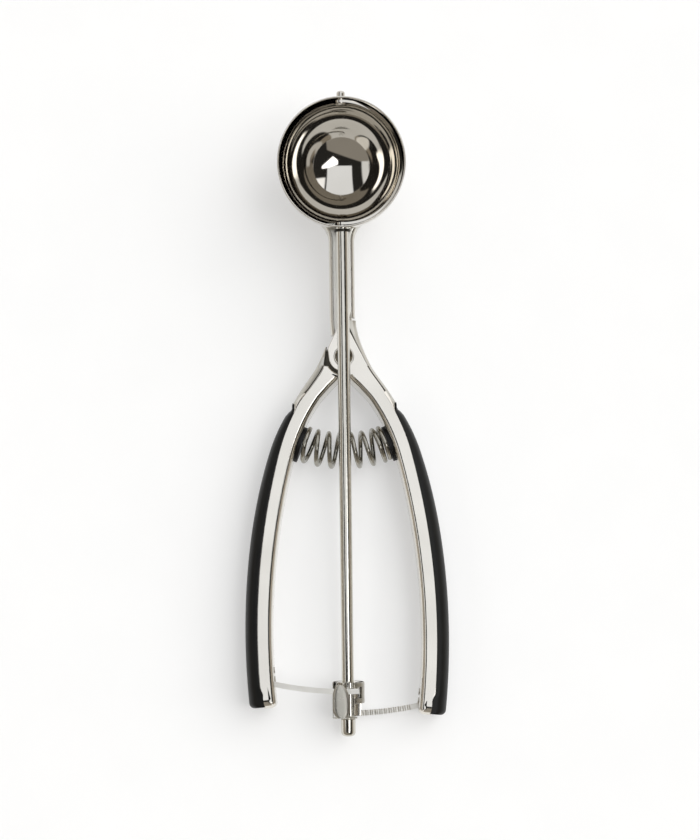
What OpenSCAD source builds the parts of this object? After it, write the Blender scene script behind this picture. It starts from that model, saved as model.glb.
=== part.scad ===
/* [Bowl] */
// Inside diameter of the bowl
bowl_in_d = 40.6; // [38:0.2:46]
// Wall thickness of the bowl
bowl_wall = 0.6; // [0.5:0.1:1.2]
// Height of the rim above the shaft's axis
rim_h = 3.5; // [3:0.1:6]
// Distance along the shaft from the handle pivot to the bowl's centre
bowl_reach = 61.7; // [58:0.1:72]

/* [Scraper] */
// Width of the scraper band
scraper_w = 4.7; // [4.2:0.1:6]
// Thickness of the scraper band
scraper_t = 0.8; // [0.6:0.1:1.2]
// Gap between the scraper and the bowl
scraper_gap = 0.3; // [0.2:0.05:0.5]
// Diameter of the pin at the scraper's far end
pin_d = 2.6; // [2:0.1:3]
// Length of the pin outside the bowl
pin_out = 2.2; // [1.5:0.1:4]
// Diameter of the pin's head inside the bowl
pin_head_d = 4; // [3.4:0.1:4.6]

/* [Shaft] */
// Diameter of the shaft
shaft_d = 4.05; // [3.6:0.05:4.4]
// Diameter of the shaft's end that goes through the scraper
spigot_d = 2.4; // [1.8:0.1:2.8]
// Gap between the shaft and the rivet head behind it
shaft_gap = 0.7; // [0.5:0.05:1.2]
// Diameter of the collar that stops the shaft at the bowl
collar_d = 5.4; // [5:0.1:7]
// Length of the collar
collar_len = 0.8; // [0.5:0.1:2]
// Diameter of the cap on the shaft's lower end
cap_d = 4.9; // [4.6:0.1:6]
// Length of the cap
cap_len = 5.4; // [4.5:0.1:8]

/* [Neck] */
// Width of the neck
neck_w = 8.4; // [7.6:0.1:8.8]
// Depth of the neck, front to back
neck_d = 8.4; // [7.6:0.1:8.6]
// Sheet thickness of the neck
neck_t = 1.2; // [0.8:0.1:1.6]
// Radius of the neck's front corners
neck_corner = 2.6; // [1.8:0.1:3.4]
// Radius of the flare where the neck meets the bowl
neck_flare = 8; // [6:0.2:10]

/* [Pivot] */
// Diameter of the pivot rivet
rivet_d = 3.2; // [2.8:0.1:3.6]
// Diameter of the rivet's front head
rivet_head_d = 6.8; // [5.6:0.1:7]
// Height of the rivet's front head
rivet_head_h = 0.9; // [0.6:0.1:1.2]
// Diameter of the recess in the rivet's front head
rivet_recess_d = 2.4; // [1.6:0.1:2.6]
// Outside diameter of the spacer inside the neck
spacer_d = 4.8; // [4.2:0.1:5.2]
// Diameter of the handles' lugs at the pivot
lug_d = 10; // [9:0.1:11]
// Length of the right lug's edge up to its point
lug_point = 18.2; // [14:0.2:20]
// Play between the sheets that turn on the rivet
sheet_play = 0.1; // [0.08:0.02:0.14]

/* [Handles] */
// Depth of the handles, front to back
handle_d = 14; // [13.6:0.1:15]
// Width of the metal seen from the front
channel_w = 5; // [4.6:0.1:5.8]
// Sheet thickness of the handles
sheet_t = 1; // [0.9:0.05:1.1]
// Radius of the curve from the pivot into the arm
root_r = 24; // [20:1:30]
// Length of the straight part of the arm
arm_len = 5; // [4:0.5:8]
// Radius of the shoulder
shoulder_r = 64; // [58:1:70]
// Radius of the long bow down the handle
bow_r = 235; // [215:5:260]
// Width of the side wall outside the left arm's crease
arm_side = 1.9; // [1.4:0.1:2.4]
// How much narrower that wall is on the right arm
right_crease_in = 0.9; // [0.5:0.1:1.1]
// Height of the right arm's thin wall beside the neck
horn_top = 12.2; // [10:0.2:13]
// Depth of the crease along the arm
crease = 0.8; // [0.5:0.1:1]
// Distance from the pivot down to the right handle's foot
right_foot = 118.9; // [112:0.1:126]
// How much shorter the left handle is
foot_step = 2.8; // [2.4:0.1:3.4]
// Radius of the corners at the feet
foot_r = 3; // [2:0.1:3.5]
// Angle that the left handle swings in by, in degrees
squeeze = 5.7; // [4.5:0.1:5.8]

/* [Grips] */
// Thickness of the grip outside the metal
grip_t = 4.1; // [3:0.1:5]
// Depth of the tongue that holds the grip in the channel
tongue = 1.2; // [0.8:0.1:1.4]
// Radius of the grip's front and back edges
grip_round = 4.5; // [3:0.1:6]

/* [Racks and pinion] */
// Size of the teeth, pitch diameter over number of teeth
tooth_size = 0.5; // [0.48:0.01:0.52]
// Number of teeth on the pinion
teeth = 16; // [15:1:16]
// How much nearer the pivot the middle of the right rack is than the right handle's foot
rack_inset = 0.9; // [0.8:0.1:1.3]
// Distance between the middles of the two racks
rack_step = 7.4; // [7:0.1:8]
// Width of the racks seen from the front
rack_w = 1.8; // [1.6:0.1:2.2]
// Thickness of the racks behind their teeth
rack_back = 0.9; // [0.7:0.05:0.95]
// Length of a rack past the shaft's axis
rack_tip = 3.7; // [3.2:0.1:4]
// Length of the pinion above the left rack
pinion_over = 1.9; // [1.6:0.1:2.4]
// Side play between the teeth
backlash = 0.14; // [0.1:0.02:0.2]
// Diameter of the rivets that hold the racks
rack_rivet_d = 1.6; // [1.4:0.1:2]

/* [Rack guide] */
// Sheet thickness of the rack guide
guide_t = 0.4; // [0.4:0.05:0.8]
// Gap between the pinion and the guide's drum
drum_gap = 0.5; // [0.4:0.1:0.8]
// Length of the guide's drum
drum_len = 7; // [6.4:0.1:7.5]

/* [Spring] */
// Outside diameter of the spring
spring_d = 12; // [11:0.1:12.2]
// Diameter of the spring's wire
wire_d = 1.4; // [1:0.1:1.6]
// Number of turns
turns = 7; // [5:1:7]
// Gap between the wires of the closed turn at the right
closed_gap = 0.8; // [0.7:0.05:1.2]
// Thickness of the plastic seats
seat_t = 1.3; // [1:0.1:1.6]
// Lean of the spring's seats, in degrees
seat_lean = 20; // [18:0.5:22]

/* [Hidden] */
$fn = 72;

run_fit = 0.06;      // radial play of every turning fit
clear = 0.3;         // least gap between moving pieces
through = 1;         // how far a cut runs past the face it opens

// Bowl, in the shaft's frame
bowl_in_r = bowl_in_d / 2;
bowl_r = bowl_in_r + bowl_wall;
scraper_r = bowl_in_r - scraper_gap;
scraper_in_r = scraper_r - scraper_t;

// Height of the shaft over the handles, and its lean
shaft_r = shaft_d / 2;
axis_z = handle_d + rivet_head_h + shaft_gap + shaft_r;
left_foot = right_foot - foot_step;
right_rack_r = right_foot - rack_inset;
left_rack_r = right_rack_r - rack_step;
gear_y = (left_rack_r + right_rack_r) / 2;
lean = atan((axis_z - handle_d / 2) / gear_y);

// Pinion and racks
pitch_r = tooth_size * teeth / 2;
pitch = PI * tooth_size;
addendum = 0.9 * tooth_size;
dedendum = 1.25 * tooth_size;
pressure = 20;       // pressure angle of the teeth
guide_foot = right_rack_r + rack_w / 2 + clear;
pinion_top = left_rack_r - rack_w / 2 - pinion_over;
pinion_foot = (guide_foot - (pitch_r + addendum) * sin(lean)) / cos(lean) - clear;
sweep = left_rack_r * squeeze / pitch_r;
scraper_rest = (180 - sweep) / 2;
left_pitch_z = axis_z - left_rack_r * tan(lean) + pitch_r / cos(lean);
right_pitch_z = axis_z - right_rack_r * tan(lean) - pitch_r / cos(lean);
foot_plate_h = 6;    // height of the plate that holds a rack
foot_plate_l = 7;    // length of that plate along the handle
foot_plate_t = 0.9;
foot_drop = 0.6;     // how far that plate reaches below the rack's middle
rivet_pitch = 3.1;   // distance between the two rivets of a rack

// Guide: its drum follows the shaft, its plate and tabs follow the racks
drum_in_r = pitch_r + addendum + drum_gap;
drum_r = drum_in_r + guide_t;
front_tab_z = left_pitch_z + dedendum + rack_back + clear;
back_tab_z = right_pitch_z - dedendum - rack_back - clear - guide_t;

// Neck, in the shaft's frame
lug_top = handle_d - sheet_t - sheet_play;
lug_under = lug_top - sheet_t - sheet_play;
neck_front = (lug_under - axis_z - lug_d / 2 * tan(lean)) * cos(lean);
pad_h = 2.2;         // thickness of the neck's flat pad under the lugs
waist_w = neck_w - 1.8;
waist_t = 0.7;       // sheet thickness where the neck is narrow, between the arms
waist_top = horn_top + 0.8;
waist_corner = neck_corner - 0.9;

// Handle outline: three arcs and a straight, each point with the lean of its outward normal
root_lean = 27;
arm_lean = 35.7;
tip_lean = 30;       // where the grip's point lies on the shoulder
join_lean = 14.9;    // where the shoulder meets the bow
root_x = 7.16;
root_y = -3.55;
gusset = 1.7;        // extra width of the metal at the pivot
grip_run = 60;       // length over which the grip grows to its full thickness
taper = 3;           // length over which the arm's side wall ends
horn_t = 0.5;
left_horn = 8.9;     // how far below the right arm's thin wall the left arm's wall ends
joggle_r = lug_d / 2 + 0.9;

function polar(r, a) = [r * cos(a), r * sin(a)];
function arc_len(r, a) = r * a * PI / 180;
root_c = [root_x, root_y] + polar(root_r, root_lean);
arm_top = root_c - polar(root_r, arm_lean);
arm_end = arm_top + arm_len * [sin(arm_lean), -cos(arm_lean)];
shoulder_c = arm_end - polar(shoulder_r, arm_lean);
bow_c = shoulder_c + polar(shoulder_r - bow_r, join_lean);
arm_s = -arc_len(shoulder_r, arm_lean - tip_lean);
root_s = arm_s - arm_len - arc_len(root_r, arm_lean - root_lean);
join_s = arc_len(shoulder_r, tip_lean - join_lean);
function foot_lean(foot) = asin((-foot - bow_c[1]) / bow_r);
function station(c, r, a, s) = [c[0] + r * cos(a), c[1] + r * sin(a), a, s];
function root_station(a) =
  station(root_c, -root_r, a, root_s + arc_len(root_r, a - root_lean));
function shoulder_station(a) =
  station(shoulder_c, shoulder_r, a, arc_len(shoulder_r, tip_lean - a));
function bow_station(a) = station(bow_c, bow_r, a, join_s + arc_len(bow_r, join_lean - a));
function bow_end(foot) = foot_lean(foot) + foot_r / bow_r * 180 / PI;
function outline(foot) = concat(
  [for (i = [0:2]) root_station(root_lean + (arm_lean - root_lean) * i / 2)],
  [for (i = [0:2]) shoulder_station(arm_lean - (arm_lean - tip_lean) * i / 2)],
  [shoulder_station(tip_lean - taper / shoulder_r * 180 / PI)],
  [for (i = [0:4]) shoulder_station(25 - (25 - join_lean) * i / 4)],
  [for (i = [1:9]) bow_station(join_lean - (join_lean - bow_end(foot)) * i / 9)],
  [for (i = [1:5]) bow_station(foot_lean(foot) + foot_r * (1 - sin(18 * i)) / bow_r * 180 / PI)]);
function foot_s(foot) = join_s + arc_len(bow_r, join_lean - foot_lean(foot));
function off(q, d) = [q[0] + d * cos(q[2]), q[1] + d * sin(q[2])];

// How far the outline draws in at distance e from the foot, for a round corner
function corner_in(e, r) = e >= r ? 0 : r - sqrt(max(0, r * r - pow(r - e, 2)));
function side_off(s) = s <= 0 ? arm_side : s < taper ? arm_side * (1 - s / taper) : 0;
function root_u(s) = max(0, (arm_s - s) / (arm_s - root_s));
function web_off(s, foot, r = foot_r) =
  channel_w + gusset * pow(root_u(s), 2) - corner_in(foot_s(foot) - s, r);
function grip_off(s, foot) =
  arm_side + (grip_t - arm_side) * (1 - pow(max(0, 1 - s / grip_run), 3))
  - corner_in(foot_s(foot) - s, foot_r);
function reversed(v) = [for (i = [len(v) - 1:-1:0]) v[i]];

// Place of the whole scoop: its box is centred on the origin and stands on Z = 0
pin_top = bowl_reach + bowl_r + pin_out;
cap_top = (guide_foot + guide_t + cap_d / 2 * sin(lean)) / cos(lean) + clear;
cap_bottom = cap_top + cap_len;
mid_y = (pin_top * cos(lean) + pin_d / 2 * sin(lean)
  - (cap_bottom - cap_d / 2) * cos(lean) - cap_d / 2) / 2;
rest_z = max(0, bowl_r - axis_z - bowl_reach * sin(lean), -back_tab_z);

module at_rest() translate([0, -mid_y, rest_z]) children();
module shaft_frame() at_rest() translate([0, 0, axis_z]) rotate([lean, 0, 0]) children();
module bowl_frame() shaft_frame() translate([0, bowl_reach, 0]) children();
module along_y(y0, y1, r, r_end = undef) translate([0, y0, 0]) rotate([-90, 0, 0])
  cylinder(h = y1 - y0, r1 = r, r2 = is_undef(r_end) ? r : r_end);
module upright(z0, z1, r) translate([0, 0, z0]) cylinder(h = z1 - z0, r = r);
module slab(z0, z1) translate([0, 0, z0]) linear_extrude(z1 - z0) children();

// Bowl and scraper
module half_ball(r) intersection() {
  sphere(r, $fn = 120);
  translate([-r, -r, -r]) cube([2 * r, 2 * r, r]);
}

module bowl() color([0.72, 0.71, 0.68]) bowl_frame() difference() {
  union() {
    half_ball(bowl_r);
    cylinder(h = rim_h - bowl_wall / 2, r = bowl_r, $fn = 120);
    translate([0, 0, rim_h - bowl_wall / 2]) rotate_extrude($fn = 120)
      translate([bowl_in_r + bowl_wall / 2, 0]) circle(bowl_wall / 2, $fn = 24);
  }
  half_ball(bowl_in_r);
  translate([0, 0, -0.01]) cylinder(h = rim_h + through, r = bowl_in_r, $fn = 120);
  along_y(-bowl_r - through, 0, shaft_r + run_fit);
  along_y(0, bowl_r + through, pin_d / 2 + run_fit);
}

module scraper() color([0.78, 0.77, 0.74]) bowl_frame() rotate([0, scraper_rest, 0])
  difference() {
    intersection() {
      difference() {
        sphere(scraper_r, $fn = 120);
        sphere(scraper_in_r, $fn = 120);
      }
      union() {
        translate([0, -bowl_r, -scraper_w / 2]) cube([bowl_r, 2 * bowl_r, scraper_w]);
        along_y(-bowl_r, bowl_r, scraper_w / 2);
      }
    }
    along_y(-bowl_r, 0, spigot_d / 2);
    along_y(0, bowl_r, pin_d / 2);
  }

module scraper_pin() color([0.8, 0.79, 0.76]) bowl_frame() {
  head_y = sqrt(scraper_in_r * scraper_in_r - pin_head_d * pin_head_d / 4);
  end_y = bowl_r + pin_out;
  rotate([-90, 0, 0]) rotate_extrude() polygon([[0, head_y - 0.6], [pin_head_d / 2 - 0.3, head_y - 0.6],
    [pin_head_d / 2, head_y], [pin_d / 2, head_y], [pin_d / 2, end_y - 0.3],
    [pin_d / 2 - 0.3, end_y], [0, end_y]]);
}

module shaft() color([0.78, 0.77, 0.74]) shaft_frame() {
  difference() {
    along_y(-cap_bottom + cap_d / 2 + 1, bowl_reach - scraper_r + 0.2, shaft_r);
    translate([0, bowl_reach, 0]) sphere(scraper_r, $fn = 120);
  }
  along_y(bowl_reach - scraper_r - 1, bowl_reach - scraper_in_r + 0.4, spigot_d / 2);
}

module shaft_collar() color([0.3, 0.29, 0.27]) shaft_frame() difference() {
  along_y(bowl_reach - bowl_r - clear - collar_len, bowl_reach - bowl_r - clear, collar_d / 2);
  along_y(0, bowl_reach, shaft_r);
}

module shaft_end_cap() color([0.72, 0.71, 0.68]) shaft_frame() difference() {
  union() {
    along_y(-cap_bottom + cap_d / 2, -cap_top, cap_d / 2);
    translate([0, -cap_bottom + cap_d / 2, 0]) sphere(cap_d / 2);
  }
  along_y(-cap_bottom + cap_d / 2 + 1, 0, shaft_r);
}

// Involute tooth: half angle at radius r
base_r = pitch_r * cos(pressure);
function roll(r) = r <= base_r ? 0 : tan(acos(base_r / r)) * 180 / PI - acos(base_r / r);
function half_tooth(r) = 90 / teeth - backlash / pitch_r * 45 / PI + roll(pitch_r) - roll(r);
root_r_pinion = pitch_r - dedendum;
tip_r_pinion = pitch_r + addendum;
module pinion() color([0.62, 0.61, 0.58]) shaft_frame() translate([0, -pinion_top, 0])
  rotate([90, 0, 0]) difference() {
    linear_extrude(pinion_foot - pinion_top) union() {
      circle(root_r_pinion);
      for (k = [0:teeth - 1]) rotate(90 + (k + 0.5) * 360 / teeth) polygon(concat(
        [for (i = [0:4]) let (r = root_r_pinion - 0.2 + (tip_r_pinion - root_r_pinion + 0.2) * i / 4)
          polar(r, -half_tooth(r))],
        [for (i = [4:-1:0]) let (r = root_r_pinion - 0.2 + (tip_r_pinion - root_r_pinion + 0.2) * i / 4)
          polar(r, half_tooth(r))]));
    }
    translate([0, 0, -through]) cylinder(h = pinion_foot, r = shaft_r);
  }

// Racks: arcs round the pivot. u runs along the arc towards +X from the shaft's axis.
web_r = bow_r - channel_w;
function web_lean(r, w) = let (d = norm(bow_c)) atan2(bow_c[1], bow_c[0])
  + acos((r * r - d * d - w * w) / (2 * w * d));
function web_point(r, w) = bow_c + polar(w, web_lean(r, w));
function polar_of(p) = atan2(p[0], -p[1]);
module ring_sector(r, w, a0, a1, z0, z1) translate([0, 0, z0]) rotate(a0 - 90)
  rotate_extrude(angle = a1 - a0, $fn = 240) translate([r - w / 2, 0]) square([w, z1 - z0]);

// A rack of the right handle; up is 1 where its teeth point down and -1 where they point up
module rack(r, pitch_z, up, phase) {
  a_web = polar_of(web_point(r, web_r + sheet_t + foot_plate_t / 2));
  u_web = arc_len(r, polar_of(web_point(r, web_r))) - 1;
  plate_z = up > 0 ? pitch_z + dedendum + rack_back - foot_plate_h : pitch_z - dedendum - rack_back;
  translate([0, 0, pitch_z]) mirror([0, 0, up > 0 ? 0 : 1]) {
    ring_sector(r, rack_w, -rack_tip / r * 180 / PI, a_web, dedendum, dedendum + rack_back);
    intersection() {
      ring_sector(r, rack_w, -rack_tip / r * 180 / PI, a_web, -2, 2);
      for (u = [phase - pitch * floor(rack_tip / pitch):pitch:u_web - pitch])
        rotate(u / r * 180 / PI) translate([0, -r, 0]) rotate([90, 0, 0])
          linear_extrude(rack_w + through, center = true) rack_tooth();
    }
  }
  foot_plate(r, plate_z, foot_plate_h);
}

module rack_tooth() {
  half = pitch / 4 - backlash / 2;
  polygon([
    [-half + addendum * tan(pressure), -addendum], [half - addendum * tan(pressure), -addendum],
    [half + dedendum * tan(pressure), dedendum + 0.1], [-half - dedendum * tan(pressure), dedendum + 0.1]
  ]);
}

// Plate that holds a rack inside the channel, with its two rivet holes
module foot_plate(r, z, h) difference() {
  web_frame(r) translate([sheet_t + 0.05, -foot_drop, z]) cube([foot_plate_t, foot_plate_l, h]);
  rivet_axes(r, z + h / 2) cylinder(h = 8, r = rack_rivet_d / 2, center = true);
}
module web_frame(r) translate(concat(bow_c, [0])) rotate(web_lean(r, web_r))
  translate([web_r, 0, 0]) children();
module rivet_axes(r, z) web_frame(r)
  for (i = [0:1]) translate([0, 1.6 + i * rivet_pitch, z]) rotate([0, 90, 0]) children();

module rack_rivets(r, z) rivet_axes(r, z) {
  translate([0, 0, -0.34]) cylinder(h = 0.24, r = 1.1);
  translate([0, 0, -0.12]) cylinder(h = sheet_t + foot_plate_t + 0.2, r = rack_rivet_d / 2);
  translate([0, 0, sheet_t + foot_plate_t + 0.05]) cylinder(h = 0.4, r = 1.1);
}

left_plate_mid = left_pitch_z + dedendum + rack_back - foot_plate_h / 2;
right_plate_mid = right_pitch_z - dedendum - rack_back + foot_plate_h / 2;
right_phase = teeth % 2 == 0 ? 0 : pitch / 2;
module left_rack() color([0.85, 0.84, 0.81]) at_rest()
  mirror([1, 0, 0]) rack(left_rack_r, left_pitch_z, 1, 0);
module right_rack() color([0.85, 0.84, 0.81]) at_rest()
  rack(right_rack_r, right_pitch_z, -1, right_phase);
module left_rack_rivets() color([0.6, 0.59, 0.56]) at_rest()
  mirror([1, 0, 0]) rack_rivets(left_rack_r, left_plate_mid);
module right_rack_rivets() color([0.6, 0.59, 0.56]) at_rest()
  rack_rivets(right_rack_r, right_plate_mid);

// Guide round the pinion: drum, side strip, bottom plate and a tab in front of and behind the racks
module rack_guide() color([0.6, 0.59, 0.55]) {
  window_top = left_rack_r - rack_w / 2 - pinion_over - through;
  window_foot = left_rack_r + rack_w / 2 + 1.6;
  side = drum_r + 1;
  strip_z = axis_z - guide_foot * sin(lean) - 2.2;
  difference() {
    union() {
      shaft_frame() along_y(-pinion_top - drum_len, -pinion_top, drum_r);
      at_rest() translate([-drum_r, -guide_foot - guide_t / 2, strip_z])
        cube([guide_t + 0.6, guide_foot - pinion_top - 1, 5.2]);
    }
    shaft_frame() along_y(-guide_foot - 2, -pinion_top + through, drum_in_r);
    shaft_frame() translate([-side, -window_foot, pitch_r - addendum - clear])
      cube([2 * side, window_foot - window_top, side]);
    shaft_frame() translate([-side, -window_foot, 0.5])
      cube([side + pitch_r / 3, window_foot, side]);
  }
  difference() {
    at_rest() union() {
      translate([-drum_r, -guide_foot - guide_t, back_tab_z])
        cube([drum_r + 3.6, guide_t, front_tab_z + guide_t - back_tab_z]);
      translate([0, 0, front_tab_z]) guide_tab(left_rack_r - rack_w / 2);
      translate([0, 0, back_tab_z]) guide_tab(right_rack_r - rack_w / 2 - 1);
    }
    shaft_frame() along_y(-guide_foot - guide_t - 2, -guide_foot + 2, shaft_r + run_fit);
  }
}

// Tab with a half-round end, from the bottom plate up to distance top from the pivot
module guide_tab(top) {
  half = 2.55;
  translate([-half, 0, 0]) linear_extrude(guide_t) union() {
    translate([-half, -guide_foot - guide_t]) square([2 * half, guide_foot + guide_t - top - half]);
    translate([0, -top - half]) circle(half);
  }
}

// Handles
module outline_2d(foot) {
  p = outline(foot);
  polygon(concat([for (q = p) off(q, side_off(q[3]))],
    [for (q = reversed(p)) off(q, -web_off(q[3], foot))]));
}

// Space inside the channel, open outwards below the grip's point
module hollow_2d(foot) {
  p = [for (q = outline(foot - sheet_t)) if (q[3] > root_s + 2) q];
  polygon(concat(
    [for (q = p) off(q, q[3] < taper ? side_off(q[3]) - sheet_t : grip_t + through)],
    [for (q = reversed(p)) off(q, -web_off(q[3], foot - sheet_t, foot_r / 2) + sheet_t)]));
}

// Strip outside the arm's crease, which lies at distance inset from the outline
module crease_2d(foot, inset) {
  p = concat([root_station(root_lean + 0.7)],
    [for (q = outline(foot)) if (q[3] <= taper && q[3] > root_s + 0.5) q]);
  up = 2 * through * [-sin(root_lean), cos(root_lean)];
  polygon(concat([off(p[0], arm_side + through) + up], [for (q = p) off(q, arm_side + through)],
    [for (q = reversed(p)) off(q, inset * (1 - max(0, q[3]) / taper))], [off(p[0], inset) + up]));
}

// Thin wall beside the neck: it leaves the arm at the arm's lean and ends upright, from top down
horn_foot = off(root_station(root_lean), arm_side - 0.04);
horn_x = waist_w / 2 + clear + horn_t;
horn_rise = horn_foot[0] - horn_x;
horn_run = horn_top - horn_foot[1];
horn_bend = tan(root_lean) * horn_run / horn_rise;
function horn_at(y) = [horn_x + horn_rise * pow((horn_top - y) / horn_run, horn_bend), y];
module horn_2d(top) {
  list = [for (i = [0:9]) horn_at(top + (horn_foot[1] - top) * i / 9)];
  low = 1.5 * [sin(root_lean), -cos(root_lean)];
  wide = [horn_t / cos(root_lean), 0];
  polygon(concat(list, [horn_foot + low, horn_foot + low - wide],
    [for (i = [9:-1:0]) list[i] - (1 + 0.12 * i / 9) * [horn_t, 0]]));
}

module channel(foot, inset, top) difference() {
  union() {
    slab(0, handle_d) outline_2d(foot);
    slab(sheet_t + 0.4, handle_d - sheet_t - 0.4) horn_2d(top);
  }
  slab(sheet_t, handle_d - sheet_t) hollow_2d(foot);
  slab(handle_d - crease, handle_d + through) crease_2d(foot, inset);
  slab(-through, crease) crease_2d(foot, inset);
}

// Slot in a web for a rack at radius r, between heights z0 and z1
module web_slot(r, z0, z1) {
  a = polar_of(web_point(r, web_r));
  ring_sector(r, rack_w + 2 * clear, a - 1.2, a + (sheet_t + 0.5) / r * 180 / PI, z0, z1);
}
module own_slot(r, z0, z1) {
  a = polar_of(web_point(r, web_r));
  ring_sector(r, rack_w, a - 1.2, a + (sheet_t + 0.7) / r * 180 / PI, z0, z1);
}

module rivet_bore() upright(-through, handle_d + through, rivet_d / 2 + run_fit);

rack_z = dedendum + rack_back;
module right_handle() color([0.86, 0.85, 0.82]) at_rest() difference() {
  union() {
    difference() {
      channel(right_foot, right_crease_in, horn_top);
      upright(sheet_t, handle_d - sheet_t, lug_d / 2 + 0.5);
    }
    slab(handle_d - sheet_t, handle_d) lug_2d();
    slab(0, sheet_t) lug_2d();
  }
  rivet_bore();
  upright(-0.01, sheet_t, rivet_d / 2 + run_fit);
  countersink(run_fit);
  own_slot(right_rack_r, right_pitch_z - rack_z, right_pitch_z + addendum);
  web_slot(left_rack_r, left_pitch_z - addendum - clear, left_pitch_z + rack_z + clear);
  rivet_axes(right_rack_r, right_plate_mid) cylinder(h = 8, r = rack_rivet_d / 2, center = true);
}

// Right lug: a disc with a round heel that runs up to a point, and down into the arm
module lug_2d() {
  r = lug_d / 2;
  start = root_station(root_lean);
  edge = right_crease_in - 0.05;
  tip = off(start, edge) + lug_point * [-sin(root_lean), cos(root_lean)];
  heel = r * [-0.58, 0.46];
  heel_r = 0.48 * r;
  to_tip = tip - heel;
  circle(r);
  translate(heel) circle(heel_r);
  into = 0.4 * [sin(root_lean), -cos(root_lean)];
  polygon([tip, heel + polar(heel_r, atan2(to_tip[1], to_tip[0]) + acos(heel_r / norm(to_tip))),
    heel, polar(r - 0.4, -120),
    off(start, 0.2 - channel_w - gusset) + into, off(start, edge) + into]);
}

module left_handle() color([0.86, 0.85, 0.82]) at_rest() mirror([1, 0, 0]) difference() {
  union() {
    difference() {
      channel(left_foot, 0, horn_top - left_horn);
      upright(-through, handle_d + through, joggle_r);
    }
    slab(0, 2 * sheet_t + sheet_play) joggle_2d();
    slab(lug_top - sheet_t, handle_d) joggle_2d();
    slab(sheet_t + sheet_play, 2 * sheet_t + sheet_play) left_lug_2d();
    slab(lug_top - sheet_t, lug_top) left_lug_2d();
  }
  rivet_bore();
  own_slot(left_rack_r, left_pitch_z - addendum, left_pitch_z + rack_z);
  rack_notch();
  rivet_axes(left_rack_r, left_plate_mid) cylinder(h = 8, r = rack_rivet_d / 2, center = true);
}

// Step from the left arm's face down to its lug, round the right lug
module joggle_2d() difference() {
  start = root_station(root_lean);
  into = 0.4 * [sin(root_lean), -cos(root_lean)];
  polygon([[0, 0], off(start, arm_side - 0.1) - 3 * into, off(start, arm_side - 0.1),
    off(start, -0.1) + into, off(start, 0.1 - channel_w - gusset) + into]);
  circle(joggle_r);
}

module left_lug_2d() {
  r = lug_d / 2;
  start = root_station(root_lean);
  below = root_station(arm_lean);
  circle(r);
  polygon([polar(r, 60), off(start, arm_side - 0.2), off(below, 0), off(below, -channel_w),
    off(start, -channel_w - gusset + 0.2), polar(r, -120)]);
}

// Notch at the back of the left foot, where the right rack's end passes
module rack_notch() {
  a = polar_of(web_point(right_rack_r, web_r));
  in_r = right_rack_r - rack_w / 2 - clear;
  ring_sector(in_r + 3, 6, a - 2.5, a + 3.6 / in_r * 180 / PI, -through,
    right_pitch_z + addendum + clear);
}

// Grip: one swept solid with a tongue in the channel and rounded outer edges
function grip_section(q, foot) =
  let (b = side_off(q[3]), g = max(b + 0.15, grip_off(q[3], foot)),
       rx = (g - b) * 0.85, z1 = sheet_t + 0.06, z2 = handle_d - z1, edge = 0.1,
       e = foot_s(foot) - q[3],
       low = q[3] <= taper + 1 || e < sheet_t + foot_r / 4 ? [b, z1 + 1] : [b - tongue, z1])
  concat(
    [low, [b, z1], [b, edge]],
    [for (i = [0:4]) [g - rx + rx * sin(22.5 * i), edge + grip_round * (1 - cos(22.5 * i))]],
    [for (i = [4:-1:0]) [g - rx + rx * sin(22.5 * i), handle_d - edge - grip_round * (1 - cos(22.5 * i))]],
    [[b, handle_d - edge], [b, z2], [low[0], handle_d - low[1]]]);

module grip(foot) {
  p = [for (q = outline(foot)) if (q[3] > -0.01) q];
  n = len(grip_section(p[0], foot));
  last = len(p) - 1;
  points = [for (q = p) for (c = grip_section(q, foot)) let (o = off(q, c[0])) [o[0], o[1], c[1]]];
  polyhedron(points, concat(row_faces(last + 1, n), cap_faces(n, 0, false), cap_faces(n, last * n, true)));
}

// End face of the grip, as a fan from the outermost corner of its back edge
function cap_faces(n, base, flip) = [for (i = [1:n - 2])
  let (a = (7 + i) % n, b = (8 + i) % n) [base + 7, base + (flip ? b : a), base + (flip ? a : b)]];

module left_grip() color([0.1, 0.1, 0.1]) at_rest() mirror([1, 0, 0]) grip(left_foot);
module right_grip() color([0.1, 0.1, 0.1]) at_rest() grip(right_foot);

// Pivot
module countersink(gap) translate([0, 0, -0.01])
  cylinder(h = sheet_t * 0.8, r1 = rivet_d / 2 + gap + sheet_t * 0.8, r2 = rivet_d / 2 + gap);

module pivot_rivet() color([0.75, 0.74, 0.71]) at_rest() difference() {
  union() {
    upright(0.05, handle_d + sheet_play, rivet_d / 2);
    intersection() {
      countersink(0);
      upright(0.05, sheet_t, rivet_d);
    }
    translate([0, 0, handle_d + 0.05]) rotate_extrude() polygon(concat([[0, 0]],
      [for (i = [0:5]) [rivet_head_d / 2 - rivet_head_h * (1 - cos(18 * i)), rivet_head_h * sin(18 * i)]],
      [[0, rivet_head_h]]));
  }
  upright(handle_d - 0.6, handle_d + rivet_head_h + through, rivet_recess_d / 2);
}

module pivot_spacer() color([0.55, 0.54, 0.52]) at_rest() difference() {
  upright(2 * sheet_t + 2 * sheet_play, lug_under - pad_h, spacer_d / 2);
  upright(0, handle_d, rivet_d / 2);
}

// Neck: channel with round front corners and an open back
module neck_section(w, d, r) {
  translate([-w / 2 + r, -r]) circle(r);
  translate([w / 2 - r, -r]) circle(r);
  translate([-w / 2 + r, -2 * r]) square([w - 2 * r, 2 * r]);
  translate([-w / 2, -d]) square([w, d - r]);
}

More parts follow.
